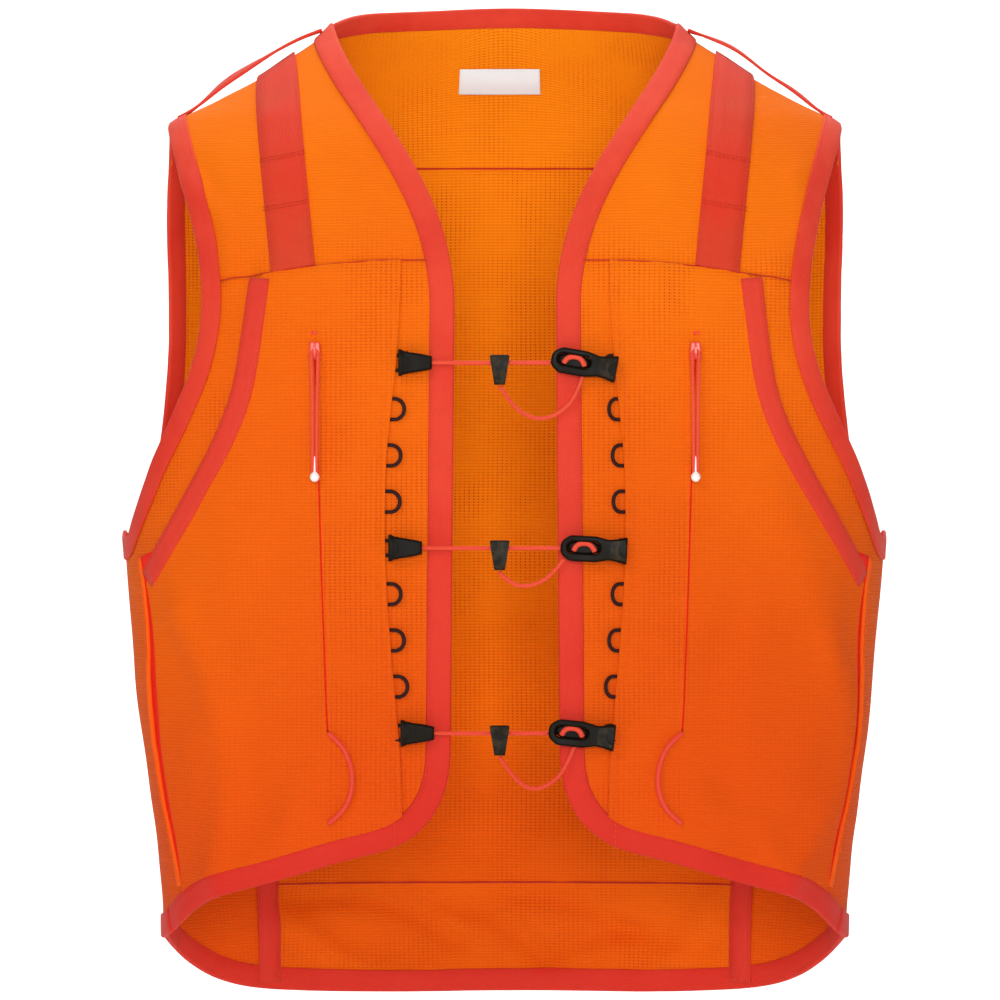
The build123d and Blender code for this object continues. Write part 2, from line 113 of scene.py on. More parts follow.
def station_at(z):
    """Half width, front depth, back depth and squareness at each height."""
    z = np.clip(z, STATIONS[0, 0], STATIONS[-1, 0])
    i = np.clip(np.searchsorted(STATIONS[:, 0], z) - 1, 0, len(STATIONS) - 2)
    gap = (STATIONS[i + 1, 0] - STATIONS[i, 0])[..., None]
    t = (z[..., None] - STATIONS[i, 0][..., None]) / gap
    return hermite(STATIONS[i, 1:], STATIONS[i + 1, 1:], SLOPES[i], SLOPES[i + 1], gap, t)


def reach_at(t, square):
    """The share of the half width that a section reaches at t, from 0 at the side to 1 at the middle."""
    return (1 - t) ** 3 + 3 * (1 - t) ** 2 * t + 3 * (1 - t) * t**2 * square


def skin(u, z):
    """A point of the right-hand skin: u is 0 at the centre front, 1 at the side, 2 at the back."""
    half, front, back, square = np.moveaxis(station_at(z), -1, 0)
    t = np.abs(u - 1)
    depth = np.where(u < 1, -front, back)
    x = half * reach_at(t, square)
    y = depth * (3 * (1 - t) ** 2 * t * square + 3 * (1 - t) * t**2 + t**3)
    return np.stack([x, y, z], -1)


Z_ROWS = np.arange(-578.0, 34.0, 2.0)
U_ROWS = np.linspace(0, 2, 321)
GRID = skin(*np.broadcast_arrays(U_ROWS[None, :], Z_ROWS[:, None]))
ROUND = np.zeros(GRID.shape[:2])  # distance along each level section from the centre front
ROUND[:, 1:] = np.linalg.norm(np.diff(GRID, axis=1), axis=2).cumsum(1)
UP = np.zeros(GRID.shape[:2])  # distance up the skin from the lowest row
UP[1:] = np.linalg.norm(np.diff(GRID, axis=0), axis=2).cumsum(0)


def look(table, u, z):
    """The table's value at u and z, between its rows and columns."""
    r = np.clip((z - Z_ROWS[0]) / (Z_ROWS[1] - Z_ROWS[0]), 0, len(Z_ROWS) - 1.001)
    c = np.clip(u / U_ROWS[1], 0, len(U_ROWS) - 1.001)
    i, j = r.astype(int), c.astype(int)
    a, b = r - i, c - j
    low = table[i, j] * (1 - b) + table[i, j + 1] * b
    high = table[i + 1, j] * (1 - b) + table[i + 1, j + 1] * b
    return low * (1 - a) + high * a


def whole(z):
    """The distance from the centre front round to the centre back."""
    return look(ROUND, np.full_like(z, 2.0), z)


def halfway(z):
    """The distance from the centre front round to the side."""
    return look(ROUND, np.ones_like(z), z)


def u_at(h, z, back):
    """u of the place (h, z)."""
    goal = whole(z) - np.abs(h) if back else np.abs(h)
    low, high = np.zeros_like(goal), np.full_like(goal, 2.0)
    for _ in range(20):
        middle = (low + high) / 2
        short = look(ROUND, middle, z) < goal
        low, high = np.where(short, middle, low), np.where(short, high, middle)
    return (low + high) / 2


# Folds in the cloth: (x, z) at both ends seen from the front, half width, height.
FRONT_FOLDS = [
    (-172, -92, -150, -140, 6, 2.7), (-163, -88, -141, -139, 6, -1.8),
    (-150, -262, -168, -400, 16, 2.4), (-128, -300, -134, -440, 13, -1.7),
    (-178, -330, -160, -470, 9, 3.3), (-110, -420, -150, -470, 9, 2.1),
    (-70, -140, -76, -190, 7, 1.0), (150, -270, 163, -420, 15, 2.5),
    (126, -320, 134, -450, 12, -1.7), (176, -340, 158, -470, 9, 3.0),
    (108, -430, 150, -466, 9, 2.0), (160, -88, 147, -138, 8, 2.1),
    (84, -143, 78, -196, 7, 1.2), (-88, -60, -70, -120, 12, 1.2), (88, -62, 72, -118, 12, 1.2),
]
BACK_FOLDS = [
    (-120, -498, -30, -522, 7, 4.4), (-118, -514, -44, -540, 8, -3.4), (-40, -500, 22, -532, 8, 4.8),
    (-8, -498, 70, -516, 7, 4.0), (30, -528, 112, -524, 7, 4.0), (84, -540, 118, -500, 8, -2.6),
    (-90, -440, -20, -470, 14, 2.2), (10, -456, 96, -430, 14, 2.0), (-110, -380, -40, -350, 18, 1.6),
    (30, -330, 116, -362, 18, 1.5), (-60, -230, 20, -250, 22, 1.4), (60, -180, 110, -240, 18, 1.2),
    (-120, -170, -90, -250, 18, 1.2), (-150, -250, -166, -380, 12, 1.6), (152, -260, 165, -390, 12, 1.6),
    (-60, -40, -100, -64, 12, 1.0), (64, -40, 104, -62, 12, 1.0),
]


def fold_height(x, z, folds):
    """The sum of the folds' heights at each x and z."""
    total = np.zeros_like(x)
    for x0, z0, x1, z1, width, height in folds:
        along = np.array([x1 - x0, z1 - z0])
        t = ((x - x0) * along[0] + (z - z0) * along[1]) / (along @ along)
        bow = 0.12 * np.hypot(*along) * np.sin(np.pi * np.clip(t, 0, 1)) * np.sign(height)
        off = ((x - x0) * along[1] - (z - z0) * along[0]) / np.hypot(*along) + bow
        past = np.maximum(np.maximum(-t, t - 1), 0) * np.hypot(*along)
        total += height * np.exp(-((off / width) ** 2) - (past / (1.6 * width)) ** 2)
    return total


def relief(p):
    """How far the cloth stands off the torso surface at points p."""
    x, y, z = p[..., 0], p[..., 1], p[..., 2]
    front = 1 / (1 + np.exp(y / 12))
    folds = front * fold_height(x, z, FRONT_FOLDS) + (1 - front) * fold_height(x, z, BACK_FOLDS)
    sway = np.sin(x / 31 + 1.7 * np.sin(z / 57)) * np.sin(z / 44 + np.sin(x / 63 + y / 80))
    ripple = np.sin(x / 11 + z / 29 + 2 * np.sin(z / 37)) * np.sin(z / 13 - x / 41)
    calm = np.clip((np.abs(x) - 72) / 50, 0, 1) + np.clip((y + 40) / 40, 0, 1)
    return folds + np.clip(calm, 0.12, 1) * (1.2 * sway + 0.3 * ripple)


def rest(h, z, back=False, side=1):
    """Point, outward normal, u and relief of the places (h, z)."""
    z = np.asarray(z, float)
    h = np.asarray(h, float)
    u = u_at(h, z, back)
    v = np.clip(u, 0.003, 1.997)
    p = skin(u, z)
    across = skin(v + 0.003, z) - skin(v - 0.003, z)
    up = skin(v, z + 1.5) - skin(v, z - 1.5)
    n = unit(np.cross(across, up))
    n *= np.where((n[..., :1] * p[..., :1] + n[..., 1:2] * p[..., 1:2]) < 0, -1, 1)
    sign = side * np.where(h < 0, -1, 1)
    p[..., 0] *= sign
    n[..., 0] *= sign
    return p, n, u, relief(p)


def place(h, z, lift, back=False, side=1):
    """The points that stand lift off the cloth's middle at the places (h, z)."""
    p, n, _, bump = rest(h, z, back, side)
    return p + n * (bump + lift)[..., None]


# ---------------------------------------------------------------- lines on the surface
def spline(points, start=None, end=None, step=3.0):
    """Points every few millimetres along the smooth curve through points."""
    points = np.array(points, float)
    knots = travelled(points)
    gaps, n = np.diff(knots), len(points)
    matrix, goal = np.zeros((n, n)), np.zeros((n, 2))
    for i in range(1, n - 1):
        matrix[i, i - 1:i + 2] = gaps[i], 2 * (gaps[i - 1] + gaps[i]), gaps[i - 1]
        rise, fall = points[i] - points[i - 1], points[i + 1] - points[i]
        goal[i] = 3 * (gaps[i] / gaps[i - 1] * rise + gaps[i - 1] / gaps[i] * fall)
    for row, near, given, gap in ((0, 1, start, gaps[0]), (n - 1, n - 2, end, gaps[-1])):
        matrix[row, row] = 1 if given else 2
        matrix[row, near] = 0 if given else 1
        ends = (points[max(row, near)] - points[min(row, near)]) * 3 / gap
        goal[row] = np.array(given, float) / np.hypot(*given) if given else ends
    slopes = np.linalg.solve(matrix, goal)
    at = np.linspace(0, knots[-1], max(2, int(knots[-1] / step) + 1))
    i = np.clip(np.searchsorted(knots, at) - 1, 0, n - 2)
    t, gap = ((at - knots[i]) / gaps[i])[:, None], gaps[i][:, None]
    return hermite(points[i], points[i + 1], slopes[i], slopes[i + 1], gap, t)


def straight(a, b, step=3.0):
    """Points every few millimetres from a to b."""
    count = max(2, int(math.dist(a, b) / step) + 1)
    return np.linspace(a, b, count)


def on_skin(xz, back=False):
    """The places (h, z) of points seen from the front at (x, z), on the front or the back half."""
    xz = np.asarray(xz, float)
    half, _, _, square = np.moveaxis(station_at(xz[:, 1]), -1, 0)
    goal = np.minimum(np.abs(xz[:, 0]) / half, 1.0)
    low, high = np.zeros(len(xz)), np.ones(len(xz))
    for _ in range(30):
        t = (low + high) / 2
        beyond = reach_at(t, square) > goal
        low, high = np.where(beyond, t, low), np.where(beyond, high, t)
    round_to = look(ROUND, 1 + t if back else 1 - t, xz[:, 1])
    h = whole(xz[:, 1]) - round_to if back else round_to
    return np.stack([h * np.where(xz[:, 0] < 0, -1, 1), xz[:, 1]], -1)


def to_back(line):
    """A front place (h, z) counted from the centre back instead."""
    return np.stack([whole(line[:, 1]) - line[:, 0], line[:, 1]], -1)


def h_on(line, z):
    """h where a line that runs downwards passes height z."""
    order = np.argsort(line[:, 1])
    return np.interp(z, line[order, 1], line[order, 0])


def z_on(line, h):
    """z where a line that runs outwards passes h."""
    order = np.argsort(line[:, 0])
    return np.interp(h, line[order, 0], line[order, 1])


NECK_Z = 17
HEM_CORNER = (30, -395)
neck = spline([(97.5, 3), (62, -62), (37, -110), (28, -160)], (-0.3, -1), (0, -1))
fall = straight((28, -160), HEM_CORNER)
hem_points = [(35, -428), (52, -449), (84, -460.5), (135, -476), (172, -491), (192, -510)]
hem = spline([HEM_CORNER] + hem_points, (0, -1), (0.8, -0.6))
edge_line = on_skin(np.concatenate([neck, fall[1:], hem[1:]]))
arm_points = [(188.6, -54.7), (177.5, -91), (167.5, -135), (168, -178), (191, -238), (213.5, -297)]
front_arm = on_skin(spline(arm_points))
back_arm_points = [(188.6, -54.7), (193, -100), (193.5, -190), (200, -245), (213.5, -297)]
back_arm = on_skin(spline(back_arm_points), back=True)
back_neck = on_skin(spline([(0, NECK_Z), (62, 13.5), (97.5, 3)], (1, 0), (0.75, -0.66)), back=True)
back_hem_points = [(0, -551), (126, -549), (169, -538.5), (192.5, -512)]
back_hem = on_skin(spline(back_hem_points, (1, 0), (0.45, 1)), back=True)
tape_points = [(131, -120), (137.5, -175), (143, -206), (156, -239), (174, -271), (204, -322)]
tape_line = on_skin(spline(tape_points))
seam_points = [(209, -258), (200, -307), (195, -365), (190, -415), (184, -454), (174, -512)]
side_seam = on_skin(spline(seam_points))
back_seam_points = [(204, -226), (185, -262), (160, -330), (146, -400), (139, -470), (137, -560)]
back_seam = on_skin(spline(back_seam_points), back=True)
yoke_points = [(0, -135.5), (103, -137.5), (129, -141), (155, -145), (182, -150)]
yoke_seam = on_skin(spline(yoke_points))
pocket_points = [
    (56.5, -130), (58.5, -184), (63.5, -233), (64.7, -300), (59.5, -373), (56.8, -406), (56, -475)
]
pocket_edge = on_skin(spline(pocket_points))
ZIP_TOP, ZIP_END = (104, -165), (97, -375)
ZIP_OPEN = -184
zip_line = on_skin(np.concatenate([
    straight((104.6, -130), ZIP_TOP), straight(ZIP_TOP, ZIP_END)[1:],
    straight(ZIP_END, (95.5, -400))[1:], straight((95.5, -400), (95.5, -485))[1:],
]))
BACK_YOKE_Z, LOWER_BACK_Z = -72.0, -488.0
ARM_TOP, ARM_LOW = -54.7, -297.0
POCKET_LOW_Z = -485
MOUTH_LOW, MOUTH_HEIGHT = -478, 176  # of the open side pocket
BINDING, BACK_BINDING = 13.0, 11.0


# ---------------------------------------------------------------- meshes
def make_mesh(name, points, faces, material, body="vest", replaces=(), slot=None, values=None):
    """A smooth-shaded piece that rides on a body. values are numbers or vectors kept at its points."""
    mesh = bpy.data.meshes.new(name)
    mesh.from_pydata((points * MM).tolist(), [], faces)
    mesh.polygons.foreach_set("use_smooth", np.ones(len(mesh.polygons), bool))
    for key, data in (values or {}).items():
        data = np.asarray(data, np.float32)
        kind = "FLOAT_VECTOR" if data.ndim == 2 else "FLOAT"
        attribute = mesh.attributes.new(key, kind, "POINT")
        attribute.data.foreach_set("vector" if data.ndim == 2 else "value", data.ravel())
    mesh.materials.append(material)
    mesh.update()
    piece = bpy.data.objects.new(name, mesh)
    bpy.context.scene.collection.objects.link(piece)
    if body:
        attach(piece, body)
    if replaces:
        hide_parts(*replaces)
    return piece


def solid(*given, **facts):
    """A piece, made as by make_mesh, with every face turned outwards."""
    piece = make_mesh(*given, **facts)
    work = bmesh.new()
    work.from_mesh(piece.data)
    bmesh.ops.recalc_face_normals(work, faces=work.faces)
    work.to_mesh(piece.data)
    work.free()
    return piece


def circle(count):
    """The cosine and sine of each of count even turns."""
    turns = [2 * math.pi * k / count for k in range(count)]
    return [(math.cos(turn), math.sin(turn)) for turn in turns]


def ring_by_ring(rows):
    """Rows of points that run along a line, as one list with each ring's points together."""
    return np.stack(rows, 1).reshape(-1, 3)


def painted_shade_and_tone_at(p):
    """Painted shade in the cloth's colour: 1 high up, 0 at the hem, so it is painted darker downwards for
    the light that falls off lower down, with slow random unevenness of tone.
    """
    slow = np.sin(p[..., 0] / 47 + 2) * np.sin(p[..., 2] / 61 + p[..., 0] / 90)
    return np.clip((p[..., 2] + 520) / 470 + 0.12 * slow, 0, 1)


def nearest(points, lines):
    """The distance from each point to the nearest point of the lines."""
    best = np.full(len(points), 1e9)
    for line in lines:
        for part in np.array_split(line, max(1, len(line) // 40)):
            gap = np.linalg.norm(points[:, None] - part[None], axis=2).min(1)
            best = np.minimum(best, gap)
    return best


def cloth(name, lines, inside, layer, back=False, side=1, eyelets=1.0, shape=None, held="hung",
          rests_on=(), **facts):
    """A closed thin knit sheet over the places where inside(h, z) is true, cut along the lines.

    layer is the height of its middle and its thickness. On the back, the lines are mirrored too.
    eyelets, from 0 to 1, is how open the knit is, and shape(h, z) adds to the height.
    """
    lift, thick = layer
    step = CLOTH_STEP
    if back:
        lines = lines + [line * (-1, 1) for line in lines]
    every = np.concatenate(lines)
    low, high = every.min(0) - 2, every.max(0) + 2
    rows = np.arange(low[1], high[1], step * 0.87)
    columns = np.arange(low[0], high[0], step)
    grid_h = columns[None, :] + (np.arange(len(rows)) % 2)[:, None] * step / 2
    grid = np.stack([grid_h, np.broadcast_to(rows[:, None], grid_h.shape)], -1).reshape(-1, 2)
    grid = grid[inside(grid[:, 0], grid[:, 1])]
    grid = grid[nearest(grid, lines) > 0.55 * step]
    points, edges = [grid], []
    count = len(grid)
    for line in lines:
        points.append(line)
        edges += [(count + i, count + i + 1) for i in range(len(line) - 1)]
        count += len(line)
    flat = np.concatenate(points)
    made = delaunay_2d_cdt([tuple(p) for p in flat.tolist()], edges, [], 0, 1e-4)
    flat = np.array([tuple(v) for v in made[0]])
    triangles = np.array(made[2])
    centre = flat[triangles].mean(1)
    triangles = triangles[inside(centre[:, 0], centre[:, 1])]
    used, triangles = np.unique(triangles, return_inverse=True)
    triangles = triangles.reshape(-1, 3)
    flat = flat[used]
    h, z = flat[:, 0], flat[:, 1]
    p, n, u, bump = rest(h, z, back, side)
    extra = shape(h, z) if shape else 0.0
    top = p + n * (bump + lift + thick / 2 + extra)[:, None]
    under = p + n * (bump + lift - thick / 2 + extra)[:, None]
    corner, second, third = (top[triangles[:, i]] for i in range(3))
    inwards = (np.cross(second - corner, third - corner) * n[triangles[:, 0]]).sum(1) < 0
    triangles[inwards] = triangles[inwards][:, ::-1]
    rim = np.concatenate([triangles[:, [0, 1]], triangles[:, [1, 2]], triangles[:, [2, 0]]])
    keys = rim.min(1) * len(flat) + rim.max(1)
    _, first, counts = np.unique(keys, return_index=True, return_counts=True)
    rim = rim[first[counts == 1]]
    total = len(flat)
    walls = np.stack([rim[:, 1], rim[:, 0], rim[:, 0] + total, rim[:, 1] + total], 1)
    faces = triangles.tolist() + (triangles[:, ::-1] + total).tolist() + walls.tolist()
    up = look(UP, u, z)
    weave = np.stack([h, up, np.zeros_like(h)], -1)
    eyelet = eyelets(h, z) if callable(eyelets) else np.full_like(h, eyelets)
    # The under skin is painted lighter than the top, and inside the back paler still higher up: painted
    # light that stands in for light reaching the inner faces.
    paler = 0.2 + 0.8 * np.clip((z + 440) / 160, 0, 1) if back else 0.0
    values = {
        "weave": np.concatenate([weave, weave]),
        "tone": np.concatenate([painted_shade_and_tone_at(p), np.clip(painted_shade_and_tone_at(p) + 0.3, 0, 1) + paler]),
        "eyelet": np.concatenate([eyelet, eyelet]),
    }
    piece = make_mesh(name, np.concatenate([top, under]), faces, mesh_orange, slot="mesh_orange",
                      values=values, **facts)
    piece.data.set_sharp_from_angle(angle=math.radians(60))


def walk(line, distances, inward, back=False, closed=False):
    """The places that lie each distance across from a line.

    inward is +1 or -1, the side of the line on which distances grow.
    """
    h, z = line[:, 0].copy(), line[:, 1].copy()
    p, n, _, _ = rest(h, z, back)
    if closed:
        tangent = np.roll(p, -1, 0) - np.roll(p, 1, 0)
    else:
        tangent = np.gradient(p, axis=0)
    tangent = unit(tangent)
    found = {0.0: (h, z)}
    step = 1.0
    for way in (1, -1):
        direction = np.cross(tangent, n) * inward * way
        at_h, at_z = h.copy(), z.copy()
        limit = max(way * d for d in distances)
        gone = 0.0
        while gone < limit - 1e-6:
            move = min(step, limit - gone)
            q, m, _, _ = rest(at_h, at_z, back)
            ph = (rest(at_h + 0.5, at_z, back)[0] - q) / 0.5
            pz = (rest(at_h, at_z + 0.5, back)[0] - q) / 0.5
            direction = unit(direction - (direction * m).sum(1, keepdims=True) * m)
            a, b, c = (ph * ph).sum(1), (ph * pz).sum(1), (pz * pz).sum(1)
            r, s = (ph * direction).sum(1), (pz * direction).sum(1)
            det = a * c - b * b
            at_h = at_h + move * (c * r - b * s) / det
            at_z = at_z + move * (a * s - b * r) / det
            gone += move
            found[way * gone] = (at_h, at_z)
    keys = np.array(sorted(found))
    all_h = np.array([found[k][0] for k in keys])
    all_z = np.array([found[k][1] for k in keys])
    result = []
    for d in distances:
        i = int(np.clip(np.searchsorted(keys, d) - 1, 0, len(keys) - 2))
        t = (d - keys[i]) / (keys[i + 1] - keys[i])
        result.append((all_h[i] * (1 - t) + all_h[i + 1] * t, all_z[i] * (1 - t) + all_z[i + 1] * t))
    return result


def ring_faces(count, ring, closed):
    """Quads between rings of points, and the two end caps."""
    faces = []
    for i in range(count if closed else count - 1):
        a, b = i * ring, (i + 1) % count * ring
        faces += [(a + j, a + (j + 1) % ring, b + (j + 1) % ring, b + j) for j in range(ring)]
    if not closed:
        faces += [tuple(range(ring))[::-1], tuple(range((count - 1) * ring, count * ring))]
    return faces


def ribbon(name, line, profile, inward, material, back=False, closed=False, side=1, sway=0.0,
           swell=None, **facts):
    """A strip along a line. profile is a closed loop of (distance across, lift).

    swell scales the lift from one end of the line, 0, to the other, 1.
    """
    across = [d for d, _ in profile]
    placed = walk(line, across, inward, back, closed)
    along = travelled(rest(line[:, 0], line[:, 1], back, side)[0])
    wobble = sway * (np.sin(along / 7.3 + 1) * np.sin(along / 19 + 2) + 0.4 * np.sin(along / 3.1))
    share = swell(along / along[-1]) if swell else 1.0
    rings, weave, light_and_shade_tones = [], [], []
    for (h, z), (d, lift) in zip(placed, profile):
        q = place(h, z, lift * share + wobble, back, side)
        rings.append(q)
        weave.append(np.stack([along, np.full_like(along, d), np.full_like(along, lift)], -1))
        # Rings below the cloth's middle are painted lighter: painted light on the inner face; the rest
        # follows the painted shade that darkens towards the hem.
        light_and_shade_tones.append(painted_shade_and_tone_at(q) + (0.25 if lift < 0 else 0.0))
    values = {"weave": ring_by_ring(weave), "tone": np.stack(light_and_shade_tones, 1).ravel()}
    faces = ring_faces(len(line), len(profile), closed)
    solid(name, ring_by_ring(rings), faces, material, values=values, **facts)


def fold_profile(width, top=1.15, bottom=-1.85, thick=0.55):
    """A tape folded over an edge: outside from its hem to the edge, round it, and back inside."""
    outer = [(width, top - 0.35), (width - 0.5, top), (width * 0.66, top + 0.12)]
    outer += [(width * 0.33, top + 0.12), (1.2, top), (0.2, top - 0.25), (-0.5, (top + bottom) / 2 + 0.6)]
    inner = [(-0.5, (top + bottom) / 2 - 0.6), (0.2, bottom + 0.25), (1.2, bottom)]
    inner += [(width * 0.5, bottom - 0.05), (width - 0.8, bottom), (width - 0.4, bottom + 0.3)]
    back = [(width - 0.8, bottom + thick), (1.4, bottom + thick), (0.5, (top + bottom) / 2)]
    return outer + inner + back + [(1.4, top - thick), (width - 0.4, top - thick)]


def flat_profile(width, lift, thick):
    """A flat tape, a little crowned."""
    half = width / 2
    upper = [(half, lift), (half - 0.35, lift + thick / 2), (half * 0.4, lift + thick / 2 + 0.06)]
    upper += [(-half * 0.4, lift + thick / 2 + 0.06), (-half + 0.35, lift + thick / 2), (-half, lift)]
    return upper + [(-half + 0.35, lift - thick / 2), (half - 0.35, lift - thick / 2)]


STITCH = [(-0.5, 0.25, -0.5), (-0.36, 0.8, 0), (0, 1.0, 0.25), (0.36, 0.8, 0), (0.5, 0.25, -0.5)]


def stitches(name, line, lift, material, back=False, side=1, pitch=3.0, long=2.1, thick=0.34,
             across=0.0, inward=1, closed=False, uneven=0.12, **facts):
    """A row of thread stitches that lie on the cloth along a line.

    STITCH gives one stitch: the share of its length, its thickness and its rise, from end to end.
    """
    if across:
        line = np.stack(walk(line, [across, 0.0], inward, back, closed)[0], -1)
    p, n, _, bump = rest(line[:, 0], line[:, 1], back, side)
    p = p + n * (bump + lift)[:, None]
    along = travelled(p)

    def sample(rows, at):
        return np.stack([np.interp(at, along, rows[:, i]) for i in range(3)], -1)

    centres = np.arange(pitch / 2, along[-1], pitch)
    centres = centres + rng.uniform(-uneven, uneven, len(centres)) * pitch
    around = 6
    points, weave = [], []
    for share, size, rise in STITCH:
        at = np.clip(centres + share * long, 0, along[-1])
        q, m = sample(p, at), sample(n, at)
        t = unit(sample(p, np.minimum(at + 1, along[-1])) - sample(p, np.maximum(at - 1, 0)))
        b = np.cross(t, m)
        for k, (c, v) in enumerate(circle(around)):
            points.append(q + thick * size * (c * b + v * m) + thick * rise * m)
            weave.append(np.stack([at, np.full_like(at, k), np.zeros_like(at)], -1))
    points = ring_by_ring(points)
    one = ring_faces(len(STITCH), around, False)
    size = len(STITCH) * around
    faces = [tuple(i + k * size for i in f) for k in range(len(centres)) for f in one]
    values = {"weave": ring_by_ring(weave), "tone": painted_shade_and_tone_at(points)}
    solid(name, points, faces, material, values=values, **facts)


def stitch_rows(name, line, lift, material, offsets, level=False, **facts):
    """Rows of stitches beside a line, shifted in h where they are level and across it elsewhere."""
    for across in offsets:
        row, apart = (line + (across, 0), 0.0) if level else (line, across)
        side = "outer" if across > 0 else "inner"
        stitches(f"{name}_{side}", row, lift, material, across=apart, **facts)


# ---------------------------------------------------------------- materials
class Graph:
    """The node tree of one material, with short calls for its nodes."""

    def __init__(self, name):
        self.material = bpy.data.materials.new(name)
        self.material.use_nodes = True
        self.tree = self.material.node_tree
        self.shader = self.tree.nodes["Principled BSDF"]

    def node(self, kind, **settings):
        made = self.tree.nodes.new(kind)
        for key, value in settings.items():
            setattr(made, key, value)
        return made

    def put(self, socket, value):
        if isinstance(value, bpy.types.NodeSocket):
            self.tree.links.new(value, socket)
        elif value is not None:
            socket.default_value = value

    def math(self, kind, *values, clamp=False):
        made = self.node("ShaderNodeMath", operation=kind, use_clamp=clamp)
        for socket, value in zip(made.inputs, values):
            self.put(socket, value)
        return made.outputs[0]

    def plus(self, a, b):
        return self.math("ADD", a, b)

    def minus(self, a, b):
        return self.math("SUBTRACT", a, b)

    def times(self, a, b):
        return self.math("MULTIPLY", a, b)

    def times_plus(self, a, b, c):
        return self.math("MULTIPLY_ADD", a, b, c)

    def weave(self):
        """Distances along and across the cloth, in millimetres."""
        made = self.node("ShaderNodeAttribute", attribute_name="weave")
        split = self.node("ShaderNodeSeparateXYZ")
        self.put(split.inputs[0], made.outputs["Vector"])
        return split.outputs[0], split.outputs[1]

    def value(self, name):
        return self.node("ShaderNodeAttribute", attribute_name=name).outputs["Fac"]

    def noise(self, scale, detail=2.0, rough=0.5, vector=None):
        made = self.node("ShaderNodeTexNoise")
        made.inputs["Scale"].default_value = scale
        made.inputs["Detail"].default_value = detail
        made.inputs["Roughness"].default_value = rough
        if vector is None:
            vector = self.node("ShaderNodeTexCoord").outputs["Object"]
        self.put(made.inputs["Vector"], vector)
        return made.outputs["Fac"]

    def mix(self, share, a, b, kind="MIX"):
        made = self.node("ShaderNodeMix", data_type="RGBA", blend_type=kind, clamp_factor=True)
        self.put(made.inputs["Factor"], share)
        for socket, value in ((made.inputs[6], a), (made.inputs[7], b)):
            self.put(socket, value if isinstance(value, bpy.types.NodeSocket) else (*value, 1.0))
        return made.outputs[2]

    def ramp(self, value, low, high, to_low=0.0, to_high=1.0):
        made = self.node("ShaderNodeMapRange", interpolation_type="SMOOTHSTEP")
        for socket, v in zip(made.inputs, (value, low, high, to_low, to_high)):
            self.put(socket, v)
        return made.outputs[0]

    def bump(self, height, distance, strength=1.0):
        made = self.node("ShaderNodeBump")
        made.inputs["Strength"].default_value = strength
        made.inputs["Distance"].default_value = distance
        self.put(made.inputs["Height"], height)
        self.put(self.shader.inputs["Normal"], made.outputs[0])

    def finish(self, colour, roughness, **sockets):
        self.put(self.shader.inputs["Base Color"], colour if isinstance(colour, bpy.types.NodeSocket)
                 else (*colour, 1.0))
        self.put(self.shader.inputs["Roughness"], roughness)
        for key, value in sockets.items():
            self.put(self.shader.inputs[key.replace("_", " ")], value)
        return self.material


def linear(colour):
    """A screen colour, 0 to 255, as linear light."""
    return tuple((v / 255 / 12.92) if v < 10.3 else ((v / 255 + 0.055) / 1.055) ** 2.4
                 for v in colour)


def wave(g, value, pitch, shift=0.0):
    """A sine of the given pitch, from 0 to 1."""
    turned = g.times_plus(value, 2 * math.pi / pitch, shift)
    return g.times_plus(g.math("SINE", turned), 0.5, 0.5)


INSIDE_PAINTED_LIGHT = linear((255, 146, 8))  # painted light: the face inside the back painted paler, for light that reaches in


def knit(name, light, deep, hole_shade, column=2.75, course=1.75):
    """Warp-knit mesh: columns of small eyelets between raised horizontal ribs."""
    light, deep, hole_shade = map(linear, (light, deep, hole_shade))
    g = Graph(name)
    across, up = g.weave()
    drift = g.noise(9.0, 3.0)
    across = g.plus(across, g.times_plus(drift, 3.0, -1.5))
    up = g.plus(up, g.times_plus(g.noise(14.0, 3.0), 1.6, -0.8))
    eyelet = g.value("eyelet")
    cell_x = g.minus(g.math("FRACT", g.math("DIVIDE", across, column)), 0.5)
    cell_y = g.minus(g.math("FRACT", g.math("DIVIDE", up, course)), 0.5)
    dx = g.times(cell_x, column / 0.42)
    dy = g.times(cell_y, course / 0.44)
    far = g.math("SQRT", g.plus(g.times(dx, dx), g.times(dy, dy)))
    patchy = g.ramp(g.noise(26.0, 5.0, 0.62), 0.36, 0.66, 0.12, 0.95)
    open_share = g.times(g.ramp(far, 0.65, 1.35, 1.0, 0.0), g.times(eyelet, patchy))
    rib = wave(g, up, course, 1.57)
    fine = wave(g, across, column / 4)
    yarn = g.noise(2600.0, 2.0)
    height = g.times_plus(rib, 0.55, g.times(fine, 0.16))
    height = g.plus(height, g.times(yarn, 0.22))
    height = g.minus(height, g.times(open_share, 0.9))
    # Painted shade: from the light colour high up to the darker deep one at the hem, for the light that
    # falls off lower down.
    base = g.mix(g.math("POWER", g.value("tone"), 1.6, clamp=True), deep, light)
    patch = g.ramp(g.noise(7.0, 4.0, 0.55), 0.3, 0.7, 0.0, 0.25)
    base = g.mix(patch, base, deep)
    # Painted light: where the tone passes 1, inside the back, the colour turns paler.
    base = g.mix(g.math("SUBTRACT", g.value("tone"), 1.0, clamp=True), base, INSIDE_PAINTED_LIGHT)
    # Painted shade in the valleys between the ribs.
    between = g.times(g.minus(1.0, rib), 0.17)
    base = g.mix(between, base, tuple(0.72 * v for v in deep))
    bright = tuple(min(1, 1.1 * v) for v in light)
    base = g.mix(g.times(g.ramp(yarn, 0.45, 0.75), 0.2), base, bright)
    # The eyelets are painted darker: painted shade seen through the holes.
    colour = g.mix(open_share, base, hole_shade)
    g.bump(height, 0.0004, 0.75)
    rough = g.ramp(yarn, 0.3, 0.7, 0.74, 0.9)
    return g.finish(colour, rough, Sheen_Weight=0.03, Sheen_Roughness=0.45,
                    Sheen_Tint=(1.0, 0.5, 0.2, 1.0), Specular_IOR_Level=0.12)


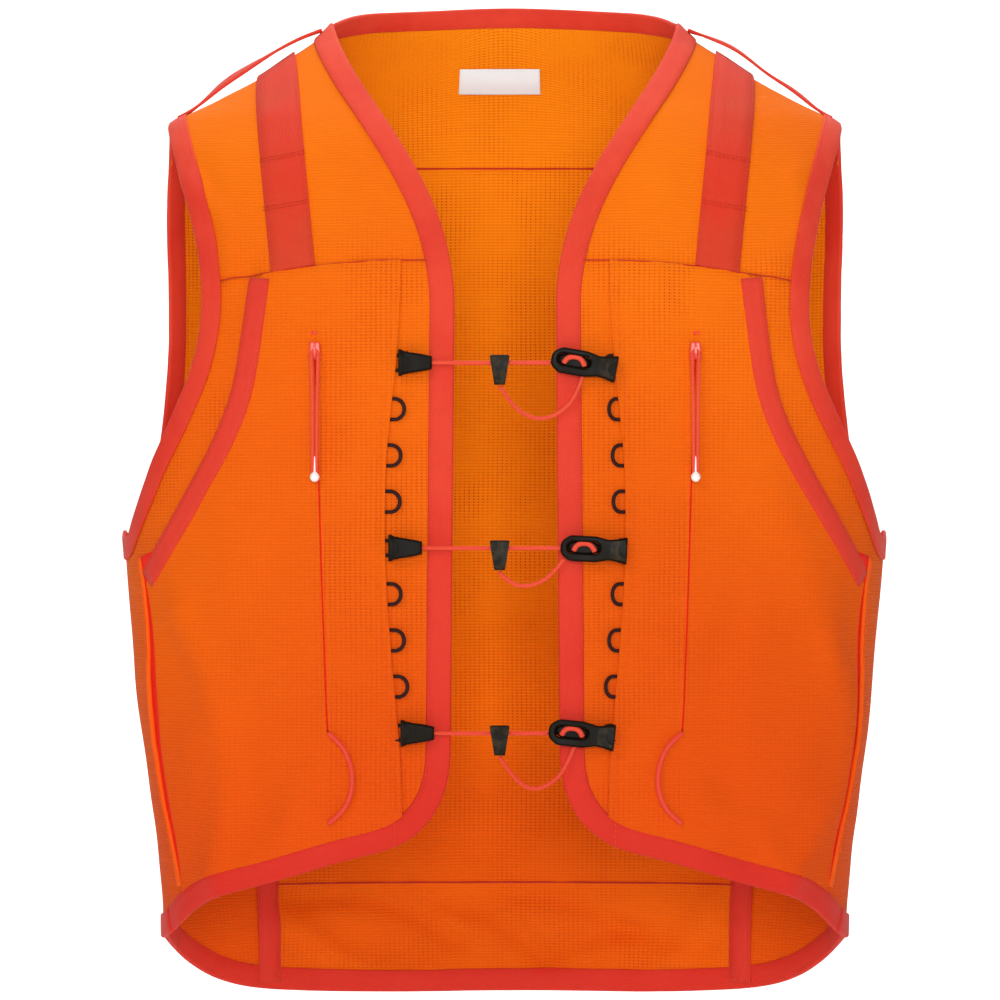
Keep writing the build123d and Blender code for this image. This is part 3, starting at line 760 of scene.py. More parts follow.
def woven(name, light, deep, rib_pitch, cross_pitch, depth=0.00018, sheen=0.25, rib_share=0.5):
    """Woven or braided tape: ribs across it, a fine diagonal, and faint wear."""
    light, deep = linear(light), linear(deep)
    g = Graph(name)
    along, across = g.weave()
    rib = wave(g, along, rib_pitch)
    line = wave(g, across, cross_pitch)
    twill = wave(g, g.times_plus(across, 1.3, along), rib_pitch * 1.7)
    yarn = g.noise(2400.0, 2.0)
    height = g.times_plus(rib, rib_share, g.times(line, 0.35))
    height = g.plus(height, g.times_plus(twill, 0.25, g.times(yarn, 0.3)))
    slow = g.ramp(g.noise(16.0, 4.0, 0.6), 0.35, 0.7, 0.0, 0.55)
    # Painted shade: from the light colour high up to the darker deep one at the hem, for the light that
    # falls off lower down.
    base = g.mix(g.value("tone"), deep, light)
    base = g.mix(slow, base, deep)
    # Painted shade in the valleys between the ribs.
    valley_shade = g.times(g.minus(1.0, rib), 0.16)
    base = g.mix(valley_shade, base, tuple(0.6 * v for v in deep))
    bright = tuple(min(1.0, 1.15 * v + 0.02) for v in light)
    base = g.mix(g.times(g.ramp(yarn, 0.5, 0.75), 0.22), base, bright)
    g.bump(height, depth, 0.8)
    rough = g.ramp(yarn, 0.3, 0.7, 0.62, 0.8)
    return g.finish(base, rough, Sheen_Weight=sheen, Sheen_Roughness=0.4,
                    Sheen_Tint=(1.0, 0.6, 0.5, 1.0), Specular_IOR_Level=0.3)


def moulded(name, base, worn, rough, grain=900.0, wear=True, specular=0.5):
    """Moulded plastic: a fine grain, slow gloss changes, and paler worn edges."""
    base, worn = linear(base), linear(worn)
    g = Graph(name)
    fine = g.noise(grain, 3.0, 0.6)
    slow = g.noise(60.0, 3.0)
    colour = g.mix(g.ramp(slow, 0.3, 0.75, 0.0, 0.16), base, worn)
    if wear:
        pointed = g.node("ShaderNodeNewGeometry").outputs["Pointiness"]
        edge = g.times(g.ramp(pointed, 0.52, 0.62), g.ramp(g.noise(240.0, 3.0), 0.35, 0.65))
        colour = g.mix(edge, colour, worn)
    g.bump(fine, 0.00006, 0.6)
    gloss = g.ramp(slow, 0.3, 0.7, rough - 0.06, rough + 0.1)
    return g.finish(colour, gloss, Specular_IOR_Level=specular)


# In knit and woven, the second colour is darker: painted shade towards the hem and in the rib valleys, and
# real unevenness in slow patches; the knit's third colour is painted shade seen through its eyelets.
mesh_orange = knit("mesh_orange", (252, 124, 5), (223, 74, 4), (208, 64, 4))
lip_orange = knit("pocket_lip_knit", (255, 112, 22), (246, 92, 16), (205, 60, 8), 1.6, 1.5)
binding = woven("binding_coral", (237, 72, 46), (211, 30, 10), 0.62, 1.1, sheen=0.08)
webbing = woven("webbing_coral", (228, 48, 18), (208, 68, 34), 0.9, 0.8, 0.0003, 0.08)
tape = woven("tape_coral", (230, 64, 40), (212, 44, 26), 0.7, 1.3, sheen=0.08)
cord_coral = woven("elastic_cord_coral", (246, 88, 58), (228, 62, 40), 0.9, 1.2, 0.00022, 0.08)
cord_black = woven("ladder_cord_black", (52, 8, 4), (36, 4, 3), 0.8, 1.1, 0.0002, 0.01)
thread_red = woven("seam_thread_red", (200, 44, 10), (176, 34, 8), 0.5, 0.6, 0.0001, 0.1)
thread_coral = woven("thread_coral", (234, 72, 46), (218, 52, 32), 0.5, 0.6, 0.0001, 0.08)
thread_orange = woven("thread_orange", (252, 124, 14), (228, 80, 8), 0.5, 0.6, 0.0001, 0.02)
gap_red = woven("pocket_lining_red", (252, 30, 2), (244, 24, 2), 0.9, 1.0, 0.0002, 0.02)
plastic_black = moulded("plastic_black", (13, 9, 5), (50, 40, 22), 0.46, specular=0.09)
zip_plastic = moulded("zip_coral", (240, 74, 50), (250, 110, 84), 0.38, 700.0, False)
bead_white = moulded("bead_white", (246, 243, 238), (228, 220, 210), 0.3, 500.0, False)
label_cloth = woven("label_white", (243, 255, 255), (238, 252, 252), 0.45, 0.5, 0.0001, 0.1)


# ---------------------------------------------------------------- where cloth lies
def in_front_edge(h, z):
    """Outside the front opening and above the front hem."""
    return (h > h_on(edge_line, z)) & (z < 3) & (z > edge_line[-1, 1])


def in_front_arm(h, z):
    """Inside the armhole's front edge, the shoulder ridge and the side."""
    arm = (z < front_arm[0, 1]) & (z > front_arm[-1, 1])
    return h < np.where(arm, h_on(front_arm, z), halfway(z))


def above_yoke_seam(h, z):
    return z > z_on(yoke_seam, h)


def side_limit(z):
    """h of the side seam, which stays under the armhole and above the hem."""
    return h_on(side_seam, np.clip(z, side_seam[-1, 1], side_seam[0, 1]))


inner_edge = np.stack(walk(edge_line, [BINDING - 1.0, 0.0], -1)[0], -1)


def inside_band(h, z):
    """Inside the band that binds the front opening and the front hem."""
    return (h > h_on(inner_edge, z)) & (z < 3) & (z > inner_edge[-1, 1])


ridge_z = np.arange(ARM_TOP, 3.1, 1.5)
ridge = np.stack([halfway(ridge_z), ridge_z], -1)


def seam_dip(line_z, z):
    """Both cloths turn under at a seam that runs across."""
    return -0.9 * np.exp(-(((z - line_z) / 2.2) ** 2))


def lip(distance, high, wide):
    """A folded edge is a little thicker than the cloth behind it."""
    return high * np.exp(-((distance / wide) ** 2))


def below_tape(h, z):
    """Between the zip and the chest tape, or lower than the tape's end."""
    return (h < h_on(tape_line, np.clip(z, tape_line[-1, 1], tape_line[0, 1])) - 1) | (z < -322)


# The middle's height off the torso surface and the thickness of each layer of cloth.
PANEL, FACING, POCKET = (-0.6, 1.0), (0.25, 0.6), (1.35, 1.0)
slit = 0.5 * ((zip_line[:, 1] < ZIP_OPEN) & (zip_line[:, 1] > ZIP_END[1] - 18))
slit_inner = np.stack([zip_line[:, 0] - slit, zip_line[:, 1]], -1)
slit_outer = np.stack([zip_line[:, 0] + slit, zip_line[:, 1]], -1)
opened = np.sin(np.pi * np.clip((side_seam[:, 1] - MOUTH_LOW) / MOUTH_HEIGHT, 0, 1)) ** 0.8
mouth = side_seam - np.stack([2.5 + 7.5 * opened, np.zeros(len(side_seam))], -1)
back_seam_round, back_arm_round, back_hem_round = map(to_back, (back_seam, back_arm, back_hem))
low_edge = edge_line[-60:]


def mouth_gape(h, z):
    """The pocket's side edge stands open between its two ends."""
    t = np.clip((z - MOUTH_LOW) / MOUTH_HEIGHT, 0, 1)
    return 1.8 * np.sin(np.pi * t) * np.exp(-(((h - h_on(mouth, z)) / 8) ** 2))


def in_side(h, z):
    """From the side seam round to the seam on the back, in distances from the centre front."""
    after = np.where(z > side_seam[0, 1], halfway(z), side_limit(z))
    arm = (z < -54) & (z > ARM_LOW)
    behind_arm = ~arm | (h > h_on(back_arm_round, z)) | (h < h_on(front_arm, z))
    hem_z = np.where(h < halfway(z), z_on(low_edge, h), z_on(back_hem_round, h))
    below_seam = z < back_seam_round[0, 1]
    return (h > after) & (h < h_on(back_seam_round, z)) & behind_arm & (z > hem_z) & below_seam


for side, word in SIDES:
    def yoke_shape(h, z):
        line_z = z_on(yoke_seam, h)
        pucker = 0.35 * np.sin(h / 2.9 + 1.1 * side) * np.sin(h / 7.1) * np.exp(-(((z - line_z) / 7) ** 2))
        return seam_dip(line_z, z) + pucker

    def yoke_eyelets(h, z):
        return np.clip(0.08 + 0.8 * np.exp(-((z - z_on(yoke_seam, h)) / 15) ** 2), 0, 1)

    def pocket_shape(h, z):
        """Thicker at the folded edge and along the zip's slit, and drawn in by a row of stitches."""
        off_edge = h - h_on(pocket_edge, z)
        free = np.clip((-142 - z) / 16, 0, 1) * np.clip((z + 470) / 16, 0, 1)
        zipped = (z < ZIP_OPEN + 6) & (z > ZIP_END[1] - 18)
        return (yoke_shape(h, z) + lip(off_edge, 0.2 + 0.6 * free, 2.6)
                + lip(h - h_on(zip_line, z), 0.35, 1.6) * zipped
                - 0.5 * np.exp(-(((off_edge - 5.2) / 0.8) ** 2)) * (z < -150))

    cloth(f"front_yoke_cloth_{word}", [edge_line, front_arm, yoke_seam, ridge],
          lambda h, z: in_front_edge(h, z) & in_front_arm(h, z) & above_yoke_seam(h, z),
          PANEL, side=side, eyelets=yoke_eyelets, shape=yoke_shape,
          rests_on=[f"shoulder_strap_{word}"], replaces=[f"front_yoke_{word}"])
    cloth(f"front_panel_cloth_{word}", [edge_line, front_arm, yoke_seam, side_seam],
          lambda h, z: (in_front_edge(h, z) & in_front_arm(h, z) & ~above_yoke_seam(h, z)
                        & ((z > side_seam[0, 1]) | (h < side_limit(z)))),
          PANEL, side=side, shape=yoke_shape,
          rests_on=[f"front_yoke_cloth_{word}"], replaces=[f"front_panel_{word}"])

    # Facing between the bound edge and the pocket, under the ladder loops.
    cloth(f"placket_cloth_{word}", [inner_edge, yoke_seam, pocket_edge],
          lambda h, z: (inside_band(h, z) & ~above_yoke_seam(h, z)
                        & (h < h_on(pocket_edge, z) + 3) & (z > pocket_edge[-1, 1])),
          FACING, side=side, shape=yoke_shape, held="stretched",
          rests_on=[f"front_panel_cloth_{word}"], replaces=[f"placket_{word}"])
    cloth(f"pocket_cloth_{word}", [inner_edge, yoke_seam, pocket_edge, slit_inner],
          lambda h, z: (inside_band(h, z) & ~above_yoke_seam(h, z) & (h > h_on(pocket_edge, z))
                        & (h < h_on(slit_inner, z)) & (z > POCKET_LOW_Z)),
          POCKET, side=side, shape=pocket_shape, held="stretched",
          rests_on=[f"front_panel_cloth_{word}"], replaces=[f"pocket_panel_{word}"])
    cloth(f"pocket_side_cloth_{word}", [inner_edge, yoke_seam, slit_outer, tape_line, mouth],
          lambda h, z: (inside_band(h, z) & ~above_yoke_seam(h, z) & (h > h_on(slit_outer, z))
                        & below_tape(h, z) & ((z > mouth[0, 1]) | (h < h_on(mouth, z)))),
          POCKET, side=side, held="stretched", eyelets=0.55,
          shape=lambda h, z: pocket_shape(h, z) + mouth_gape(h, z),
          rests_on=[f"front_panel_cloth_{word}"], replaces=[f"pocket_side_panel_{word}"])
    cloth(f"side_cloth_{word}",
          [side_seam, back_seam_round, back_arm_round, back_hem_round, low_edge, front_arm],
          in_side, PANEL, side=side, eyelets=0.6,
          rests_on=[f"armhole_band_{word}"], replaces=[f"side_panel_{word}"])

# ---------------------------------------------------------------- back of the vest
def in_back(h, z):
    """Inside the neck, armholes, side and hem of the back half; h is counted from the centre back."""
    out = np.abs(h)
    arm = (z < ARM_TOP) & (z > ARM_LOW)
    edge = np.where(arm, h_on(back_arm, z), whole(z) - halfway(z))
    return (out < edge) & (z < z_on(back_neck, out)) & (z > z_on(back_hem, out))


def back_side_area(h, z):
    """Outside the curved seam that joins the side panel."""
    return (z < back_seam[0, 1]) & (np.abs(h) > h_on(back_seam, z))


level = np.stack([np.arange(0.0, 200.0, 3.0), np.full(67, BACK_YOKE_Z)], -1)
low_level = level * (1, 0) + (0, LOWER_BACK_Z)
back_ridge = to_back(ridge)


def back_shape(h, z):
    pucker = 0.25 * np.sin(h / 3.1) * np.exp(-(((z - LOWER_BACK_Z) / 6) ** 2))
    return seam_dip(BACK_YOKE_Z, z) + seam_dip(LOWER_BACK_Z, z) + pucker


cloth("back_yoke_cloth", [back_neck, back_arm, back_ridge, level],
      lambda h, z: in_back(h, z) & (z > BACK_YOKE_Z), PANEL, back=True, shape=back_shape, eyelets=0.75,
      rests_on=["shoulder_strap_left", "shoulder_strap_right"], replaces=["back_yoke"])
cloth("back_cloth", [back_arm, level, low_level, back_seam],
      lambda h, z: (in_back(h, z) & (z < BACK_YOKE_Z) & (z > LOWER_BACK_Z) & ~back_side_area(h, z)),
      PANEL, back=True, shape=back_shape, rests_on=["back_yoke_cloth"], replaces=["back_panel"])
cloth("lower_back_cloth", [low_level, back_seam, back_hem],
      lambda h, z: in_back(h, z) & (z < LOWER_BACK_Z) & ~back_side_area(h, z),
      PANEL, back=True, shape=back_shape, rests_on=["back_cloth"], replaces=["lower_back_panel"])

# ---------------------------------------------------------------- bindings
def mirrored(line):
    """A back line that starts at the centre, continued to the other side."""
    return np.concatenate([line[::-1] * (-1, 1), line[1:]])


def smoothed(line, near, reach):
    """The closed line with its sharp turn near a place rounded off."""
    weight = np.clip(1.6 - np.linalg.norm(line - near, axis=1) / reach, 0, 1)[:, None]
    soft = line.copy()
    for _ in range(60):
        soft = (np.roll(soft, 1, 0) + soft + np.roll(soft, -1, 0)) / 3
    return line * (1 - weight) + soft * weight


def band(name, line, inward, profile=fold_profile(BINDING), **facts):
    """A coral binding folded over an edge."""
    ribbon(name, line, profile, inward, binding, slot="binding_coral", **facts)


def band_stitches(name, line, width, inward, **facts):
    """The row of stitches that holds a binding's hem."""
    stitches(name, line, 1.2, thread_coral, thick=0.2, across=width - 1.2, inward=inward,
             slot="binding_coral", **facts)


ARM_BINDING = 12.0
band("neck_band", mirrored(back_neck), -1, fold_profile(BACK_BINDING), back=True, sway=0.1,
     replaces=["back_neck_binding"])
band("back_hem_band", mirrored(back_hem), 1, back=True, sway=0.15, replaces=["back_hem_binding"])
band_stitches("neck_band_stitches", mirrored(back_neck), BACK_BINDING, -1, back=True)
band_stitches("back_hem_stitches", mirrored(back_hem), BINDING, 1, back=True)
hem_corner = np.concatenate([edge_line[-4:-1], straight(edge_line[-1], back_hem_round[-1]),
                             back_hem_round[::-1][1:4]])
arm_loop = np.concatenate([front_arm, back_arm_round[::-1][1:-1]])
arm_loop = smoothed(arm_loop, np.array([halfway(np.array([ARM_LOW]))[0], ARM_LOW]), 22)
for side, word in SIDES:
    band(f"front_band_{word}", edge_line, -1, side=side, sway=0.12,
         replaces=[f"front_edge_binding_{word}"])
    band_stitches(f"front_band_stitches_{word}", edge_line, BINDING, -1, side=side)
    band(f"hem_corner_band_{word}", hem_corner, -1, fold_profile(BINDING, 1.4, -2.1), side=side)
    band(f"armhole_band_{word}", arm_loop, 1, fold_profile(ARM_BINDING), closed=True, side=side,
         sway=0.12, replaces=[f"armhole_binding_{word}"])
    band_stitches(f"armhole_stitches_{word}", arm_loop, ARM_BINDING, 1, side=side, closed=True)

# ---------------------------------------------------------------- tapes, webbing, label
def between(line, low, high):
    """The stretch of a line between two heights."""
    return line[(line[:, 1] > low) & (line[:, 1] < high)]


def round_profile(radius, lift):
    """A thread's section."""
    return [(radius * c, lift + radius * v) for c, v in circle(8)]


TAPE, WEBBING, LINER_TAPE = 12.0, 25.0, 14.0
shown_tape = tape_line[(tape_line[:, 1] < z_on(yoke_seam, tape_line[:, 0]))
                       & (tape_line[:, 0] < h_on(side_seam, tape_line[:, 1]) - 3)]
webbing_line = on_skin(straight((128.6, -20.0), (115.6, -139.0)))
WEBBING_CELLS = (((109.5, -73.3), (135.5, -78.3)), ((107.5, -101.0), (133.0, -105.4)))
liner_line = between(back_seam, -546, -232)
liner_line = liner_line[liner_line[:, 0] < h_on(back_arm, liner_line[:, 1]) - 9]
yoke_shown = yoke_seam[(yoke_seam[:, 0] > 41) & (yoke_seam[:, 0] < h_on(front_arm, -145) - 9)]
for side, word in SIDES:
    ribbon(f"chest_tape_{word}_woven", shown_tape, flat_profile(TAPE, 1.95, 0.9), 1, tape, side=side,
           sway=0.06, replaces=[f"chest_tape_{word}"], slot="tape_coral")
    row = TAPE / 2 - 1.1
    stitch_rows(f"chest_tape_stitches_{word}", shown_tape, 2.42, thread_coral, (row, -row), side=side,
                thick=0.18, slot="tape_coral")
    ribbon(f"webbing_{word}", webbing_line, flat_profile(WEBBING, 1.2, 1.2), 1, webbing, side=side,
           sway=0.08, replaces=[f"shoulder_webbing_{word}"], slot="tape_coral")
    for k, ends in enumerate(WEBBING_CELLS):
        for drop in (0.0, 1.7):
            cell = on_skin(straight(*ends)) - (0, drop)
            stitches(f"webbing_cell_{word}_{k}_{'low' if drop else 'high'}", cell, 1.95, thread_red,
                     side=side, pitch=2.4, long=2.0, thick=0.17, slot="tape_coral")
    row = WEBBING / 2 - 1.4
    stitch_rows(f"webbing_stitches_{word}", webbing_line, 1.85, thread_coral, (row, -row), side=side,
                thick=0.2, slot="tape_coral")
    ribbon(f"yoke_seam_{word}", yoke_shown, round_profile(0.36, 0.75), 1, thread_red, side=side,
           sway=0.12, slot="binding_coral")
    ribbon(f"inner_tape_{word}_woven", liner_line, flat_profile(LINER_TAPE, -2.0, 0.8), 1, tape,
           back=True, side=side, sway=0.1, replaces=[f"inner_tape_{word}"], slot="tape_coral")
    row = LINER_TAPE / 2 - 1.3
    stitch_rows(f"inner_tape_stitches_{word}", liner_line, -2.5, thread_coral, (row, -row), back=True,
                side=side, slot="tape_coral")
    stitch_rows(f"back_seam_stitches_{word}", liner_line, 0.1, thread_orange, (-1.6, 1.6), back=True,
                side=side, slot="mesh_orange")
    pocket_row = between(pocket_edge, -462, -142) + (4.2, 0)
    stitches(f"pocket_stitches_{word}", pocket_row, 1.9, thread_orange, side=side, thick=0.2,
             slot="mesh_orange")
    zip_row = between(zip_line, ZIP_END[1] - 22, ZIP_OPEN)
    stitch_rows(f"zip_stitches_{word}", zip_row, 1.85, thread_orange, (-3.0, 3.0), level=True,
                side=side, thick=0.2, slot="mesh_orange")

for name, line, reach in (("back_yoke_seam", level, 196), ("lower_back_seam", low_level, 138)):
    whole_line = mirrored(line[line[:, 0] < reach])
    for face, radius, lift, sway in (("outside", 0.45, -0.55, 0.25), ("inside", 0.6, -1.9, 0.3)):
        ribbon(f"{name}_{face}", whole_line, round_profile(radius, lift), 1, thread_red, back=True,
               sway=sway, slot="binding_coral")

LABEL_ENDS, LABEL_HEIGHT = ((-26.5, -22.5), (20.5, -22.5)), 16.0
label_line = on_skin(straight(*LABEL_ENDS, step=2.0), back=True)
ribbon("size_label_cloth", label_line, flat_profile(LABEL_HEIGHT, -2.1, 0.6), 1, label_cloth, back=True,
       replaces=["size_label"], slot="label_white")
for across in (LABEL_HEIGHT / 2 - 1.2, 1.2 - LABEL_HEIGHT / 2):
    stitches(f"size_label_stitches_{'low' if across > 0 else 'high'}", label_line, -2.5, label_cloth,
             back=True, across=across, thick=0.2, slot="label_white")

# ---------------------------------------------------------------- zips and the open side pockets
SLIDER_X, SLIDER_Z, BRIDGE_Y = 103.37, -183.9, -112.26
zip_shown = between(zip_line, ZIP_END[1] - 18, ZIP_OPEN + 2)
mouth_seam = between(side_seam, -480, -296)


def taper(t):
    """Full in the middle of a line and a third at its ends."""
    return 0.35 + 0.65 * np.sin(np.pi * np.clip(t, 0, 1)) ** 0.7


LIP = [(-0.4, 0.6), (-0.9, 1.8), (-0.3, 3.0), (1.0, 3.4), (2.6, 2.8), (4.4, 1.3), (5.6, 0.3), (5.4, -0.1),
       (3.0, 0.3), (1.0, 0.6)]
LINING = [(-12.0, 0.0), (-11.8, 0.35), (-6.0, 0.5), (0.5, 0.6), (1.2, 0.4), (1.0, 0.0)]
for side, word in SIDES:
    ribbon(f"zip_tape_{word}", zip_shown, flat_profile(3.4, 0.75, 0.5), 1, gap_red, side=side,
           replaces=[f"zip_coil_{word}"], slot="zip_coral")
    stitch_rows(f"zip_teeth_{word}", zip_shown, 1.15, gap_red, (-0.42, 0.42), level=True, side=side,
                pitch=1.25, long=0.8, uneven=0.0, slot="zip_coral")
    stops = on_skin(straight((SLIDER_X + 0.45, SLIDER_Z + 11.4), (SLIDER_X + 0.2, SLIDER_Z + 7.6)))
    stitch_rows(f"zip_stop_{word}", stops, 2.2, zip_plastic, (-1.1, 1.1), level=True, side=side,
                pitch=3.6, long=2.4, thick=0.75, uneven=0.0, slot="zip_coral")
    ribbon(f"pocket_lining_{word}", mouth_seam, LINING, -1, gap_red, side=side,
           replaces=[f"side_pocket_binding_{word}"], slot="binding_coral")
    ribbon(f"pocket_lip_{word}", mouth_seam, LIP, -1, lip_orange, side=side, swell=taper, sway=0.15,
           slot="mesh_orange")
    stitches(f"pocket_lip_stitches_{word}", mouth_seam[6:-6], 3.2, thread_orange, side=side, across=0.7,
             inward=-1, pitch=2.2, long=1.6, thick=0.42, slot="mesh_orange")

# ---------------------------------------------------------------- shoulder straps
STRAP_ROUTE = [
    (184, -50.0), (175, -44.8), (160, -32.5), (145, -21.8), (130, -12.4), (113, -4.0), (103, -0.5)
]
STRAP_HALF, STRAP_THICK = 6.0, 1.5
# The ribbon's section: shares of its half width and of its thickness.
STRAP_SECTION = [
    (-1, 0), (-0.94, 0.5), (-0.4, 0.62), (0.4, 0.62), (0.94, 0.5), (1, 0), (0.94, -0.5), (-0.94, -0.5)
]


def strap(word, side, bow, waves):
    """A ribbon that arches over the shoulder ridge, sewn down at both ends."""
    line = spline(STRAP_ROUTE, step=1.5)
    along = travelled(line)
    arch = np.sin(np.pi * (along / along[-1]))
    tangent = unit(np.gradient(line, axis=0))
    up = np.stack([tangent[:, 1], -tangent[:, 0]], -1)
    up *= np.where(up[:, 1:] < 0, -1, 1)
    bend = bow * arch * np.sin(along / 9.0 * waves)
    rings, weave = [], []
    for across, rise in STRAP_SECTION:
        tilt = across * (1.3 + 0.7 * np.sin(along / 13 + side))
        x, z = (line + up * (rise * STRAP_THICK + 0.2 + bend + tilt * arch)[:, None]).T
        y = np.full_like(x, across * STRAP_HALF)
        rings.append(np.stack([side * x, y, z], -1))
        weave.append(np.stack([along, y, np.zeros_like(x)], -1))
    points = ring_by_ring(rings)
    solid(f"strap_ribbon_{word}", points, ring_faces(len(line), len(STRAP_SECTION), False), tape,
          replaces=[f"shoulder_strap_{word}"], slot="tape_coral",
          values={"weave": ring_by_ring(weave), "tone": painted_shade_and_tone_at(points)})


strap("right", 1, 1.1, 1.0)
strap("left", -1, 0.5, 0.6)


# ---------------------------------------------------------------- cords
def route_points(route, resolution=12):
    """Points of the smooth line that has the route's points as its control points."""
    curve = bpy.data.curves.new("route", "CURVE")
    curve.dimensions = "3D"
    curve.resolution_u = resolution
    line = curve.splines.new("NURBS")
    line.points.add(len(route) - 1)
    for point, place_at in zip(line.points, route):
        point.co = (*(v * MM for v in place_at), 1.0)
    line.order_u = 3
    line.use_endpoint_u = True
    holder = bpy.data.objects.new("route", curve)
    bpy.context.scene.collection.objects.link(holder)
    mesh = bpy.data.meshes.new_from_object(holder)
    points = np.array([v.co for v in mesh.vertices]) / MM
    bpy.data.objects.remove(holder)
    bpy.data.curves.remove(curve)
    bpy.data.meshes.remove(mesh)
    return points


def tube(name, line, diameter, material, around=12, **facts):
    """A round cord that follows a line of points, with rounded ends."""
    tangent = unit(np.gradient(line, axis=0))
    along = travelled(line)
    normal = np.cross(tangent[0], (0.1, 1, 0.2))
    frames = []
    for t in tangent:
        normal = normal - (normal @ t) * t
        normal = normal / np.linalg.norm(normal)
        frames.append((normal, np.cross(t, normal)))
    rings = [(0, -0.38, 0.55), (0, -0.2, 0.87)] + [(i, 0.0, 1.0) for i in range(len(line))]
    rings += [(len(line) - 1, 0.2, 0.87), (len(line) - 1, 0.38, 0.55)]
    points, weave = [], []
    for i, ahead, size in rings:
        a, b = frames[i]
        for k, (c, v) in enumerate(circle(around)):
            out = c * a + v * b
            points.append(line[i] + tangent[i] * ahead * diameter / 2 + out * size * diameter / 2)
            weave.append((along[i], k * math.pi * diameter / around, 0.0))
    points = np.array(points)
    values = {"weave": np.array(weave), "tone": painted_shade_and_tone_at(points)}
    return solid(name, points, ring_faces(len(rings), around, False), material, values=values, **facts)


def cord(name, route, diameter, lay, stiffness, between_bodies=None, with_pieces=(), **facts):
    """A cord along a route. between_bodies names the two bodies that it runs between; when it is given,
    the piece's placing is baked into its points.
    """
    line = route_points(route)
    piece = tube(name, line, diameter, cord_coral, slot="elastic_cord_coral", **facts)
    if between_bodies:
        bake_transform(piece)
    travelled(line)[-1] * MM


def tilted(tilt):
    """The directions along a buckle and upwards across it, when its right end is tilted down."""
    turn = math.radians(-tilt)
    return np.array([math.cos(turn), 0, math.sin(turn)]), np.array([-math.sin(turn), 0, math.cos(turn)])


# Pocket edge, cord's y and height of each closure, and the tilt of its buckle, right end down.
CLOSURES = {
    "top": (59.17, -117.53, -190.6, 10.0),
    "middle": (64.54, -117.42, -291.0, 3.0),
    "bottom": (57.99, -115.50, -391.4, 6.0),
}
HOOK_INSET, HOOK_LENGTH, BUCKLE_LENGTH = 1.8, 17.7, 36.0
CORD_D, CLOSURE_D, SLACK_D, LADDER_D, PULL_D = 2.8, 2.3, 2.1, 2.1, 2.0
SLACK_ROUTES = {
    "top": [(42, 8.8), (38.5, 18.5), (29.5, 27.5), (19.5, 31), (10.5, 28.5), (2.5, 21.5), (-2.8, 13)],
    "middle": [(31.5, 8.6), (25.5, 14.5), (17.5, 19.5), (9, 21), (2, 18.5), (-3.2, 13.2)],
    "bottom": [(37.5, 8.6), (33, 19), (24.5, 28), (14, 31), (4.5, 24.5), (-2.8, 13)],
}
BIGHT, BIGHT_D = [(-10.8, -1.2), (-9.8, 1.8), (-5.6, 3.2), (-1.2, 2.2), (0.4, -1.0)], 3.0
for row, (edge, cord_y, z, tilt) in CLOSURES.items():
    tip, end = -(edge - HOOK_INSET - HOOK_LENGTH), edge + 1.5 - BUCKLE_LENGTH - 0.4
    taut = [(tip, cord_y, z), (tip / 2 + end / 2, cord_y, z - 0.25), (end, cord_y, z)]
    cord(f"closure_cord_{row}_braid", taut, CLOSURE_D, "taut", "medium", body=f"closure_{row}",
         replaces=[f"closure_cord_{row}"])
    slack = [(x, cord_y, z - drop) for x, drop in SLACK_ROUTES[row]]
    slack[0] = (slack[0][0] + 0.3, cord_y, slack[0][2] + 2.4)  # up to the buckle's lower edge
    cord(f"slack_cord_{row}_braid", slack, SLACK_D, "hanging", "limp", body=None,
         between_bodies=(f"closure_{row}", f"keeper_{row}"), replaces=[f"slack_cord_{row}"])

    # The cord's bight that shows in the buckle's window.
    ahead, upward = tilted(tilt)
    centre = np.array([edge + 1.5 - BUCKLE_LENGTH / 2, cord_y - 1.5, z - 0.7])
    arch = [centre + x * ahead + v * upward for x, v in BIGHT]
    tube(f"buckle_bight_{row}", route_points(arch), BIGHT_D, cord_coral, body=f"closure_{row}",
         slot="elastic_cord_coral")

LADDER_TOP_Z, LADDER_PITCH, LADDER_LOOPS = -190.6, 25.1, 9
LADDER_REACH = {"left": 7.0, "right": 5.4}
STAND_OFF, LOOP_HALF, HOOKED_HALF = 2.9, 5.6, 4.0
pocket_knots = np.array(pocket_points)


def front_y(x, z):
    """The torso surface's y on the front."""
    place_at = on_skin([(x, z)])
    return rest(place_at[:, 0], place_at[:, 1])[0][0, 1]


def cloth_y(x, z, lift, side):
    """y of a point that stands lift off the cloth's middle on the front."""
    place_at = on_skin([(x, z)])
    return place(place_at[:, 0], place_at[:, 1], lift, side=side)[0, 1]


def ladder_loop(z, side, reach, high):
    """The route of one loop: out from under the pocket edge, round a closure's end, and back."""
    edge = float(np.interp(-z, -pocket_knots[:, 1], pocket_knots[:, 0]))
    low_y = cloth_y(edge, z + high, 1.1, side)
    tip_y = front_y(HEM_CORNER[0] - 2, z) - STAND_OFF
    half = [(edge + 2.4, low_y + 0.9, z + high), (edge + 0.6, low_y + 0.1, z + high),
            (edge - 0.55 * reach, (low_y + tip_y) / 2, z + high), (edge - reach, tip_y, z + 0.45 * high)]
    route = half + [(x, y, 2 * z - v) for x, y, v in half[::-1]]
    return [(side * x, y, v) for x, y, v in route]


def join(name, parts, replaces):
    """Makes several pieces into one."""
    first = parts[0]
    with bpy.context.temp_override(active_object=first, selected_editable_objects=parts):
        bpy.ops.object.join()
    first.name = name
    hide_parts(*replaces)


